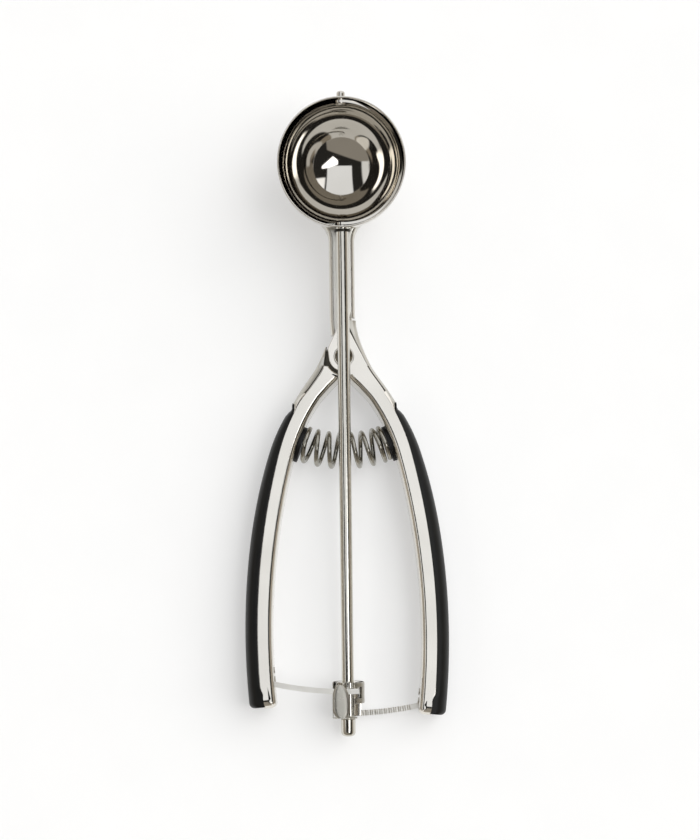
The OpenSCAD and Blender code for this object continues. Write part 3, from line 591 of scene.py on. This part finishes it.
rightLug += circlePoints(lug["heelR"], tangent, 200, 12, lug["heel"]) + circlePoints(lug["r"], 192, 244, 16)
rightLug += [tuple(off(q0, -6.6)), tuple(off(q0, -4.8))]
seamRight = {0, len(rightLug) - 1, len(rightLug) - 2}
q1 = rootStation(h["armLean"])
leftLug = [p for arc in lug["arcs"] for p in circlePoints(*arc)]
leftLug += [tuple(off(q0, -6.0)), tuple(off(q1, -4)), tuple(off(q1, -1)), tuple(off(q0, 0.8))]


# Solid between two radii round the pivot, from angle a0 to a1 off the middle line
def pivotSector(r0, r1, a0, a1, z0, z1):
    turns = [math.radians(lerp(a0, a1, i / 8)) for i in range(9)]
    corners = ((r0, z0), (r1, z0), (r1, z1), (r0, z1))
    return sweptSolid([[(r * math.sin(a), -r * math.cos(a), z) for r, z in corners] for a in turns])


# Angle off the middle line at which the handle's inner wall crosses radius r
def wallAngle(r):
    reach = h["bowR"] - h["width"]
    apart = bowC.length
    swing = math.acos((apart ** 2 + r ** 2 - reach ** 2) / (2 * apart * r))
    crossings = [90 + math.degrees(math.atan2(bowC.y, bowC.x) + k * swing) for k in (-1, 1)]
    return max(a for a in crossings if abs(a) < 40)


# Left edge and height of the right arm's thin wall, at height y on the arm
def rightEdge(y):
    return off(q0, edge0).x - 0.25 - (y - off(q0, edge0).y) * math.tan(math.radians(h["rootLean"]))


def rightTop(y):
    return 13.4 - 0.62 * smooth((y - 6.5) / 5.7)


# Room for the racks at full squeeze: a hole in the right handle for the left rack, and a notch in the left handle
# for the right rack's foot. It starts some degrees before the inner wall and goes deep past it, at radius deepR.
rackHole = {"rackR": 110.6, "above": 1.3, "below": 1.3, "before": 1.5, "deep": 2.2, "deepR": 110, "z": (10.5, 13.3)}
footNotch = {"rackR": 118.0, "above": 1.3, "below": 5, "before": 2.5, "deep": 3.6, "deepR": 117, "z": (-1.0, 3.5)}


def roomSolid(room):
    at = wallAngle(room["rackR"])
    return pivotSector(room["rackR"] - room["above"], room["rackR"] + room["below"], at - room["before"],
                       at + math.degrees(room["deep"] / room["deepR"]), *room["z"])


rightShell = handleShell(h["rightFoot"], h["rootLean"], None, h["rightCrease"])
leftShell = handleShell(h["leftFoot"], h["leftTop"], (horn["leftEdge"], -30, -80), h["leftCrease"])
rightParts = [cutPart(rightShell, roomSolid(rackHole)), plateSolid(rightLug, *lug["rightFront"], 0.22, seamRight),
              plateSolid(rightLug, *lug["rightBack"], 0.15, seamRight), hornShell(horn["top"], rightEdge, rightTop)]
leftParts = [cutPart(leftShell, roomSolid(footNotch)),
             hornShell(horn["left"], lambda y: horn["leftEdge"], lambda y: horn["leftZ"])]
leftLugs = [plateSolid(leftLug, *lug["leftFront"], 0.15), plateSolid(leftLug, *lug["leftBack"], 0.15)]
leftCorner = plateSolid(lug["corner"], *lug["cornerZ"], 0.2)
# The handles' second and third materials are painted shade: near-black for creases, edges and the whole left lug,
# seen as a dark crescent beside the right lug, and a darker steel for side walls and the left corner filler
handleSteels = [sheetSteel, darkSteelAndShade, shadedWallSteel]
addPiece("rightHandleMetal", [moved(p, pivotY) for p in rightParts], handleSteels, "right_lever",
         ["right_handle"])
addPiece("leftHandleMetal", [moved(p, pivotY) for p in leftParts] + [moved(p, pivotY, 1) for p in leftLugs]
         + [moved(leftCorner, pivotY, 2)],
         handleSteels, "left_lever", ["left_handle"], flip=True)
print("stage: handles")

# Grips: rubber that fills the handles' mouths, thin at its point, with rounded ends. It stops short of the foot
# by rightShort or leftShort.
grip = {"thick": 4.1, "round": 4.6, "run": 60.0, "edge": 0.1, "endR": 1.8, "rightShort": 0.4, "leftShort": 0.5}


def gripShell(foot):
    rows = [q for q in outline(foot, h["rootLean"]) if q[3] >= -0.01]
    endS = rows[-1][3]
    rows = [q for q in rows if q[3] < endS - 2.4]
    for e in (2.2, 1.8, 1.4, 1.0, 0.7, 0.45, 0.25, 0.1, 0.0):
        rows.append(bowStation(h["joinLean"] - math.degrees((endS - e - joinS) / h["bowR"])))
    columns = []
    sections = []
    for q in rows:
        s = q[3]
        b = h["band"] * bandShare(s)
        g = h["band"] + (grip["thick"] - h["band"]) * (1 - max(0.0, 1 - s / grip["run"]) ** 3)
        e = endS - s
        if e < grip["endR"]:
            g -= grip["endR"] - math.sqrt(max(0.0, grip["endR"] ** 2 - (grip["endR"] - e) ** 2))
        wrap = 0.85 * smooth((h["wrapFrom"] - e) / h["wrapEase"])
        swell = smooth(min(1.0, s / 4.0 + 0.02))
        g = lerp(b + 0.12, max(g, b + 0.5), swell)
        sections.append((q, b - wrap, g, 0.1 + 5.5 * (1 - smooth(min(1.0, s / 5.0 + 0.05))), wrap))
    for q, b, g, cut, wrap in sections:
        column = [(off(q, b - 0.6), depth - 2.0),
                  (off(q, b + 0.02), depth - 0.05 - cut * 0.15 + wrap * 0.12)]
        rx = (g - b) * 0.9
        rz = min(grip["round"], (depth / 2 - cut) * 0.9)
        for k in range(9):
            t = math.pi / 2 * k / 8
            column.append((off(q, g - rx + rx * math.sin(t)),
                           depth - grip["edge"] - cut * 0.15 - rz * (1 - math.cos(t))))
        column.append((off(q, g), depth / 2))
        front = [(p.x, p.y, z) for p, z in column]
        columns.append(front + [(x, y, depth - z) for x, y, z in reversed(front[:-1])])
    return sweptSolid(columns)


addPiece("rightGripRubber", [moved(gripShell(h["rightFoot"] - grip["rightShort"]), pivotY)], gripRubber,
         "right_lever", ["right_grip"], sharp=50)
addPiece("leftGripRubber", [moved(gripShell(h["leftFoot"] - grip["leftShort"]), pivotY)], gripRubber,
         "left_lever", ["left_grip"], sharp=50, flip=True)
print("stage: grips")

# Bowl: a hemisphere round a point on the shaft's axis, with a straight collar up to its rounded rim
bowl = {"reach": 61.7, "inR": 20.3, "wall": 0.6, "rim": 3.5, "collar": 1.5, "segments": 192}
outR = bowl["inR"] + bowl["wall"]


def bowlPlace(x, y, z):
    return shaftPoint(x, y + bowl["reach"], z)


profile = [(bowl["inR"] * math.cos(math.radians(a)), bowl["inR"] * math.sin(math.radians(a)))
           for a in [-90 + 90 * i / 64 for i in range(65)]]
profile[0] = (0.0, -bowl["inR"])
rimMid = bowl["inR"] + bowl["wall"] / 2
rimZ = bowl["rim"] - 0.3
profile += [(bowl["inR"], bowl["collar"]), (bowl["inR"], rimZ - 0.2)]
profile += [(rimMid - 0.3 * math.cos(t), rimZ + 0.3 * math.sin(t)) for t in [math.pi * i / 10 for i in range(11)]]
profile += [(outR, rimZ - 0.3), (outR, bowl["collar"]), (outR, 0.0)]
profile += [(outR * math.cos(math.radians(a)), outR * math.sin(math.radians(a)))
            for a in [-90 * i / 48 for i in range(1, 48)]]
profile += [(0.0, -outR)]
addPiece("bowlShell", [latheSolid(profile, bowl["segments"], bowlPlace, closed=False)], mirrorSteel,
         "frame", ["bowl"], sharp=60)
print("stage: bowl")

# Scraper: a band of the sphere, with round ends over the shaft and the pin
scraper = {"outR": 20.0, "inR": 19.25, "width": 4.7, "rest": 11.2, "lines": 13, "count": 90}


def scraperShell():
    half = scraper["width"] / 2
    turn = math.radians(scraper["rest"])
    rows = []
    lines = scraper["lines"]
    count = scraper["count"]
    for radius in (scraper["inR"], scraper["outR"]):
        grid = []
        for j in range(lines):
            v = half * math.sin(math.pi / 2 * (2 * j / (lines - 1) - 1))
            rho = math.sqrt(radius ** 2 - v ** 2)
            extra = math.asin(min(1, math.sqrt(max(0, half ** 2 - v ** 2)) / rho))
            line = []
            for i in range(count + 1):
                a = lerp(-math.pi / 2 - extra, math.pi / 2 + extra, i / count)
                x, y, z = rho * math.cos(a), rho * math.sin(a), v
                line.append(bowlPlace(x * math.cos(turn) + z * math.sin(turn), y,
                                      z * math.cos(turn) - x * math.sin(turn)))
            grid.append(line)
        rows.append(grid)
    verts = [p for grid in rows for line in grid for p in line]
    w = count + 1
    block = lines * w
    faces = []
    for g in range(2):
        for j in range(lines - 1):
            for i in range(count):
                a = g * block + j * w + i
                faces.append((a, a + 1, a + w + 1, a + w))
    for j in range(lines - 1):
        for i in (0, count):
            a = j * w + i
            faces.append((a, a + w, a + w + block, a + block))
    for j in (0, lines - 1):
        for i in range(count):
            a = j * w + i
            faces.append((a, a + 1, a + 1 + block, a + block))
    return verts, faces


addPiece("scraperBand", [scraperShell()], mirrorSteel, "shaft_unit", ["scraper"], sharp=40)


# Turned pieces on the shaft's axis: profiles of (radius, distance from the pivot)
def turned(profile, segments=64):
    return latheSolid(profile, segments, lambda x, y, d: shaftPoint(x, d, y), closed=False)


# Pin with its head against the scraper's inside and a rounded end past the bowl's rim
pin = {"headR": 2.0, "r": 1.3, "endR": 1.38, "past": 2.2, "dome": 0.8}
headY = bowl["reach"] + math.sqrt(scraper["inR"] ** 2 - pin["headR"] ** 2)
pinEnd = bowl["reach"] + outR + pin["past"]
pinRows = [(0, headY - 0.75), (1.0, headY - 0.72), (1.6, headY - 0.55), (1.95, headY - 0.25),
           (pin["headR"], headY), (pin["r"], headY + 0.02), (pin["r"], pinEnd - 1.9), (pin["endR"], pinEnd - 1.8)]
pinRows += [(pin["endR"] * math.cos(t), pinEnd - pin["dome"] + pin["dome"] * math.sin(t))
            for t in [math.pi / 2 * i / 8 for i in range(9)]]
addPiece("scraperPinTurned", [turned(pinRows)], mirrorSteel, "shaft_unit", ["scraper_pin"])

# Shaft with a thinner end that goes through the bowl and the scraper, a ring under the rim, and a cap at its foot
shaft = {"r": 2.025, "bottom": -123.5, "spigotR": 1.2, "boreR": 2.02, "ringR": 2.7, "ring": 0.8, "ringGap": 0.3,
         "capTop": -120.2, "cap": 5.9, "capR": 2.42}
spigotEnd = bowl["reach"] - scraper["inR"] + 0.4
shaftTop = bowl["reach"] - scraper["outR"] + 0.02
shaftRows = [(0, shaft["bottom"])] + [(shaft["r"], y) for y in (shaft["bottom"], -60, 0, shaftTop)]
shaftRows += [(shaft["spigotR"], shaftTop), (shaft["spigotR"], spigotEnd - 0.2), (1.0, spigotEnd), (0, spigotEnd)]
addPiece("shaftRod", [turned(shaftRows, 96)], rodSteel, "shaft_unit", ["shaft"])
ringTop = bowl["reach"] - outR - shaft["ringGap"]
ringFoot = ringTop - shaft["ring"]
ringRows = [(shaft["boreR"], ringFoot), (shaft["ringR"] - 0.1, ringFoot), (shaft["ringR"], ringTop - 0.7),
            (shaft["ringR"], ringTop - 0.1), (shaft["ringR"] - 0.1, ringTop), (shaft["boreR"], ringTop),
            (shaft["boreR"], ringFoot)]
addPiece("shaftCollarRing", [turned(ringRows)], darkSteelAndShade, "shaft_unit", ["shaft_collar"])
capTop = shaft["capTop"]
capBottom = capTop - shaft["cap"]
capRows = [(shaft["boreR"], capTop), (2.2, capTop), (shaft["capR"], capTop - 0.2),
           (shaft["capR"], capBottom + 1.6)]
capRows += [(shaft["capR"] - 1.4 * (1 - math.cos(t)), capBottom + 1.5 * (1 - math.sin(t)))
            for t in [math.pi / 2 * i / 8 for i in range(1, 9)]] + [(0, capBottom)]
addPiece("shaftCap", [turned(capRows)], rodSteel, "shaft_unit", ["shaft_end_cap"])
print("stage: shaft and scraper")

# Neck: a channel with round front corners that flares into the bowl. Between the lugs it is narrower, by waist,
# and its pad carries the rivet.
neck = {"half": 4.2, "deep": 8.4, "front": -6.263, "thick": 1.2, "corner": 1.7, "flare": 8.0, "waist": 0.9,
        "waistTop": 12.6, "side": -0.35, "padR": 4.2, "padLow": 9.6, "padHigh": 11.8}


# One face of the channel: half width w, front at height front, corners of radius r
def channelLine(w, front, r):
    line = [(w, neck["front"] - neck["deep"]), (w, front - r - 2.5)]
    for a in range(0, 91, 10):
        t = math.radians(a)
        line.append((w - r + r * math.cos(t), front - r + r * math.sin(t)))
    line.append((0, front))
    return line + [(-x, z) for x, z in reversed(line[:-1])]


# Section of the channel, outside and inside; narrow is 1 at the waist and 0 above it
def neckSection(w, narrow):
    r = neck["corner"] - 0.3 * narrow
    w -= neck["waist"] * narrow
    k = neck["thick"] - 0.5 * narrow
    return channelLine(w, neck["front"], r) + channelLine(w - k, neck["front"] - k, r - k)[::-1]


# Rows are (distance up the axis, degrees into the flare, narrowness of the left side, of the right side)
def neckShell():
    flareStart = bowl["reach"] - outR - neck["flare"] * 0.4
    rows = [(-0.5, 0.0, 1.0, 1.0), (6.6, 0.0, 1.0, 1.0), (7.0, 0.0, 0.0, 1.0), (10.0, 0.0, 0.0, 1.0),
            (neck["waistTop"] - 0.1, 0.0, 0.0, 1.0)]
    rows += [(lerp(neck["waistTop"], flareStart, i / 8), 0.0, 0.0, 0.0) for i in range(9)]
    rows += [(flareStart + neck["flare"] * math.sin(math.radians(5 * i)), 5 * i, 0.0, 0.0) for i in range(1, 10)]
    sections = []
    for y, a, left, right in rows:
        w = neck["half"] + neck["flare"] * (1 - math.cos(math.radians(a)))
        side = neck["side"] * smooth((y - 7) / 5)
        pairs = zip(neckSection(w, left), neckSection(w, right))
        sections.append([(a[0] + side, y, a[1]) if a[0] < 0 else (b[0] + side, y, b[1]) for a, b in pairs])
    flared = sections[-1]
    sphere = bowl["inR"] + 0.35
    for share in (0.35, 0.7, 1.0):
        sections.append([(x, lerp(y, bowl["reach"] - math.sqrt(max(1.0, sphere ** 2 - x * x - z * z)), share), z)
                         for x, y, z in flared])
    n = len(sections[0])
    verts = [shaftPoint(*p) for s in sections for p in s]
    faces = []
    for i in range(len(sections) - 1):
        for j in range(n):
            j2 = (j + 1) % n
            faces.append((i * n + j, i * n + j2, (i + 1) * n + j2, (i + 1) * n + j))
    half = n // 2
    for base in (0, (len(sections) - 1) * n):
        for j in range(half - 1):
            faces.append((base + j, base + j + 1, base + n - 2 - j, base + n - 1 - j))
    return verts, faces


pad = plateSolid(circlePoints(neck["padR"], 0, 350, 35), neck["padLow"], neck["padHigh"], 0.15)
addPiece("neckChannel", [neckShell(), moved(pad, pivotY)], neckSteel, "frame", ["neck"], sharp=40)

# Pivot rivet with a rolled head, from rows (radius, height)
rivetRows = [(0, 13.4), (1.25, 13.4), (1.3, 14.1), (1.7, 14.22), (2.2, 14.4), (2.65, 14.62), (2.85, 14.78),
             (3.05, 14.84), (3.25, 14.78), (3.38, 14.55), (3.4, 14.15), (3.35, 14.05), (1.6, 14.05), (1.6, 0.8),
             (2.4, 0.05), (0, 0.05)]
addPiece("pivotRivetTurned", [latheSolid(rivetRows, 64, lambda x, y, z: (x, y + pivotY, z), closed=False)],
         mirrorSteel, "frame", ["pivot_rivet"])
print("stage: neck and pivot")

# Spring: a coil on an arc between the two seats, whose right end turn is nearly closed. The real spring gets
# shorter towards its middle as the handles close; this coil keeps one shape.
spring = {"outD": 12.5, "wire": 1.5, "turns": 7, "seat": 1.3, "lean": 20.6, "z": 6.503, "closed": 2.0,
          "perTurn": 44, "tail": 9}
seatAt = shoulderC + polar(h["shoulderR"] - h["width"], spring["lean"])
endAt = seatAt - polar(spring["seat"], spring["lean"])
bendR = endAt.x / math.sin(math.radians(spring["lean"]))
bendY = endAt.y + bendR * math.cos(math.radians(spring["lean"]))
span = arcLen(bendR, 2 * spring["lean"])
coilR = (spring["outD"] - spring["wire"]) / 2


def springPath():
    path = []
    edge = spring["wire"] * 0.55
    openPitch = (span - 2 * edge - spring["closed"]) / (spring["turns"] - 1)
    count = spring["turns"] * spring["perTurn"]
    for i in range(-spring["tail"], count + spring["tail"] + 1):
        u = min(max(0.0, i / spring["perTurn"]), spring["turns"])
        s = edge + openPitch * min(u, spring["turns"] - 1) + spring["closed"] * max(0.0, u - spring["turns"] + 1)
        t = s / bendR - math.radians(spring["lean"])
        a = math.pi / 2 - 2 * math.pi * i / spring["perTurn"]
        r = bendR + coilR * math.cos(a)
        path.append(Vector((r * math.sin(t), pivotY + bendY - r * math.cos(t), spring["z"] + coilR * math.sin(a))))
    return path


coil = addPiece("springCoil", [tubeSolid(springPath(), spring["wire"] / 2, 16)], wireSteel,
                "frame", ["spring"], sharp=70)
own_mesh(coil)
print("stage: spring")

# Rack guide: a drum in line with the shaft, with a window for the rack, and a side strip, a foot plate and two
# tabs in line with the flat racks. Distances run down from the pivot.
guide = {"outR": 5.35, "centre": 0.2, "thick": 0.4, "top": 107.85, "windowTop": 109.3, "windowFoot": 113.1,
         "bottom": 114.8, "stripTop": 114.0, "foot": 119.2, "frontZ": 13.2, "backZ": 0.8}


# Part of the drum's wall from angle a0 to a1, from distance d0 to d1
def drumSector(a0, a1, d0, d1):
    sections = []
    count = max(6, int((a1 - a0) / 5))
    for i in range(count + 1):
        a = math.radians(lerp(a0, a1, i / count))
        ring = []
        inR = guide["outR"] - guide["thick"]
        for r, d in ((guide["outR"], d0 + 0.1), (guide["outR"] - 0.1, d0), (inR, d0),
                     (inR, d1), (guide["outR"] - 0.1, d1), (guide["outR"], d1 - 0.1)):
            ring.append(shaftPoint(guide["centre"] + r * math.sin(a), -d, r * math.cos(a)))
        sections.append(ring)
    return sweptSolid(sections)


# Tab with a domed face from rows of (distance from the pivot, left edge, right edge)
def tabSolid(rows, z, side):
    columns = []
    for d, x0, x1 in rows:
        ring = []
        for k in range(13):
            t = k / 12
            bulge = 1 - (2 * t - 1) ** 4
            ring.append((lerp(x0, x1, t), pivotY - d, z + side * (guide["thick"] - 0.3 + 0.55 * bulge)))
        for k in range(12, -1, -1):
            ring.append((lerp(x0, x1, k / 12), pivotY - d, z))
        columns.append(ring)
    return sweptSolid(columns)


# Rows with two more between each two of the given ones
def rowsOf(points):
    rows = []
    for (d0, a0, b0), (d1, a1, b1) in zip(points, points[1:]):
        rows += [(lerp(d0, d1, k / 3), lerp(a0, a1, k / 3), lerp(b0, b1, k / 3)) for k in range(3)]
    return rows + [points[-1]]


frontTab = rowsOf([(108.3, -3.1, -2.5), (108.7, -3.8, -1.5), (109.6, -4.4, -0.6), (111.0, -4.85, 0.05),
                   (113.2, -5.1, 0.4), (116.0, -5.05, 0.45), (117.6, -4.8, 0.35), (118.7, -4.3, 0.05),
                   (119.3, -3.7, -0.4)])
backTab = rowsOf([(115.9, -1.0, 0.6), (116.4, -1.9, 1.5), (117.4, -2.5, 2.1), (119.3, -2.5, 2.1)])
footPlate = [(-5.0, -5.9), (2.6, -5.9), (3.0, -5.0), (3.0, 2.6), (-0.4, 6.2), (-3.7, 6.2), (-4.4, 4.6),
             (-5.0, 2.4)]
sideStrip = [(-5.15, -2.5), (-4.85, -2.5), (-4.85, 2.0), (-5.15, 2.0)]


# Flat sheet in line with the racks, from outline points (x, height over half the depth), between two distances
def sheetSolid(points, d0, d1):
    return sweptSolid([[(x, pivotY - d, depth / 2 + z) for x, z in points]
                       for d in (d0, d0 + 0.08, d1 - 0.08, d1)])


guideParts = [drumSector(24, 282, guide["top"], guide["windowTop"]),
              drumSector(57, 282, guide["windowTop"], guide["windowFoot"]),
              drumSector(24, 282, guide["windowFoot"], guide["bottom"]),
              sheetSolid(sideStrip, guide["stripTop"], guide["foot"] + 0.2),
              sheetSolid(footPlate, guide["foot"], guide["foot"] + guide["thick"]),
              tabSolid(frontTab, guide["frontZ"], 1), tabSolid(backTab, guide["backZ"], -1)]
addPiece("rackGuideSheet", guideParts, guideSteel, "frame", ["rack_guide"], sharp=40)
print("stage: rack guide")

# CAD pieces that keep their shape
carried = {"pivot_spacer": satinSteel, "left_rack": rackSteel, "right_rack": rackSteel,
           "left_rack_rivets": satinSteel, "right_rack_rivets": satinSteel, "pinion": platedSteel,
           "left_spring_seat": blackPlastic, "right_spring_seat": blackPlastic}
for name, material in carried.items():
    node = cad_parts[name]
    node.data.materials.clear()
    node.data.materials.append(material)

# Floor: matt paper that glows a little for the camera and in reflections, so that it fades to plain white
floorLook = {"dark": "f7f7f6", "light": "fafaf9", "glow": 0.42, "half": 4.0}
mat, tree = newMaterial("pale matt floor")
coords = addNode(tree, "ShaderNodeTexCoord").outputs["Object"]
speck = noise(tree, coords, 40, detail=4.0).outputs["Fac"]
paper = colourRamp(tree, speck, [(0.3, linear(floorLook["dark"])), (0.7, linear(floorLook["light"]))])
diffuse = addNode(tree, "ShaderNodeBsdfDiffuse", links={"Color": paper.outputs["Color"]})
glow = addNode(tree, "ShaderNodeEmission", values={"Color": (1, 1, 1, 1), "Strength": 1.0})
light = addNode(tree, "ShaderNodeLightPath")
seen = addNode(tree, "ShaderNodeMath", operation="MAXIMUM",
               links={0: light.outputs["Is Camera Ray"], 1: light.outputs["Is Glossy Ray"]})
share = addNode(tree, "ShaderNodeMath", operation="MULTIPLY", values={1: floorLook["glow"]},
                links={0: seen.outputs[0]})
mix = addNode(tree, "ShaderNodeMixShader",
              links={0: share.outputs[0], 1: diffuse.outputs[0], 2: glow.outputs[0]})
addNode(tree, "ShaderNodeOutputMaterial", links={"Surface": mix.outputs[0]})
floorMesh = bpy.data.meshes.new("floor")
size = floorLook["half"]
floorMesh.from_pydata([(-size, -size, 0), (size, -size, 0), (size, size, 0), (-size, size, 0)], [], [(0, 1, 2, 3)])
floorMesh.materials.append(mat)
floor = bpy.data.objects.new("floor", floorMesh)
bpy.context.scene.collection.objects.link(floor)

# Lamp: a wide soft light from the right, which gives the floor its shadow
lamp = {"energy": 2.2, "angle": 70, "tiltX": -12, "tiltY": 48}
sun = bpy.data.lights.new("softBox", "SUN")
sun.energy = lamp["energy"]
sun.angle = math.radians(lamp["angle"])
softBox = bpy.data.objects.new("softBox", sun)
softBox.rotation_euler = (math.radians(lamp["tiltX"]), math.radians(lamp["tiltY"]), 0)
softBox.visible_glossy = False
bpy.context.scene.collection.objects.link(softBox)

# World: a dim room with panels. Each panel has a tint, a strength, a soft edge and the planes that bound it
# (x, y, z, least dot product), with Z along the line of sight into the bowl. The camera sees plain white.
sight = math.radians(14)
dimRoom = (0.025, 0.024, 0.022, 1)
sky = {
    "lowRoom": ("fff3e2", 0.42, 0.03, [(0, 0, -1, -0.5)]),
    "greyWall": ("fff6e8", 0.32, 0.03, [(-0.35, -1, 0, 0.25), (-1, 0, 0, -0.44), (0, 0, 1, 0.5)]),
    "topPanel": ("fafcff", 1.05, 0.02, [(1, 0, 0, -0.33), (-1, 0, 0, -0.45), (0, 1, 0, 0.08)]),
    "keyLamp": ("ffffff", 3.0, 0.03, [(1, 0, 0, 0.12), (-1, 0, 0, -0.6), (0, -1, 0, -0.15), (-0.9, 1, 0, -0.46),
                                      (0.8, 1, 0, 0), (0.3, -1, 0, 0)]),
    "rightStrip": ("ffffff", 1.3, 0.03, [(1, 0, 0, 0.5), (0, 1, 0, 0.42), (-1, 0, 0, -0.8)]),
    "leftStrip": ("ffffff", 0.9, 0.03, [(-1, 0, 0, 0.62), (0, 1, 0, -0.05), (1, 0, 0, -0.8)]),
}
world = bpy.data.worlds.new("studio")
bpy.context.scene.world = world
world.use_nodes = True
tree = world.node_tree
tree.nodes.clear()
direction = addNode(tree, "ShaderNodeTexCoord").outputs["Generated"]
colour = addNode(tree, "ShaderNodeRGB")
colour.outputs[0].default_value = dimRoom
colour = colour.outputs[0]
for tint, strength, soft, planes in sky.values():
    mask = None
    for x, y, z, least in planes:
        axis = (x, y * math.cos(sight) - z * math.sin(sight), y * math.sin(sight) + z * math.cos(sight))
        dot = addNode(tree, "ShaderNodeVectorMath", values={1: axis}, links={0: direction},
                      operation="DOT_PRODUCT").outputs["Value"]
        inside = addNode(tree, "ShaderNodeMapRange", values={"From Min": least - soft, "From Max": least + soft},
                         links={"Value": dot}, interpolation_type="SMOOTHSTEP").outputs["Result"]
        if mask:
            inside = addNode(tree, "ShaderNodeMath", links={0: mask, 1: inside}, operation="MULTIPLY").outputs[0]
        mask = inside
    level = tuple(c * strength for c in linear(tint)[:3]) + (1,)
    mix = addNode(tree, "ShaderNodeMix", values={7: level}, links={0: mask, 6: colour}, data_type="RGBA")
    colour = mix.outputs[2]
room = addNode(tree, "ShaderNodeBackground", values={"Strength": 1.0}, links={"Color": colour})
white = addNode(tree, "ShaderNodeBackground", values={"Color": (1, 1, 1, 1), "Strength": 1.0})
light = addNode(tree, "ShaderNodeLightPath")
mix = addNode(tree, "ShaderNodeMixShader",
              links={0: light.outputs["Is Camera Ray"], 1: room.outputs[0], 2: white.outputs[0]})
addNode(tree, "ShaderNodeOutputWorld", links={"Surface": mix.outputs[0]})

# Camera: looks straight down from above the feet, with the lens shifted up and turned a little
camera = {"height": 0.70, "x": 1.785, "y": -0.52, "frame": 277.2, "roll": -0.7, "shift": 84.5, "sensor": 36}
data = bpy.data.cameras.new("camera")
data.sensor_width = camera["sensor"]
data.lens = camera["sensor"] * (camera["height"] - depth * mm) / (camera["frame"] * mm)
data.shift_y = camera["shift"] / camera["frame"]
cam = bpy.data.objects.new("camera", data)
bpy.context.scene.collection.objects.link(cam)
look = Matrix.Rotation(math.radians(camera["roll"]), 4, "Z")
cam.rotation_euler = look.to_euler()
middle = Vector((camera["x"] * mm, camera["y"] * mm, camera["height"]))
cam.location = middle - look @ Vector((0, camera["shift"] * mm, 0))
data.clip_start = 0.05
bpy.context.scene.camera = cam
bpy.context.scene.view_settings.view_transform = "Standard"
print("stage: floor, lights and camera")
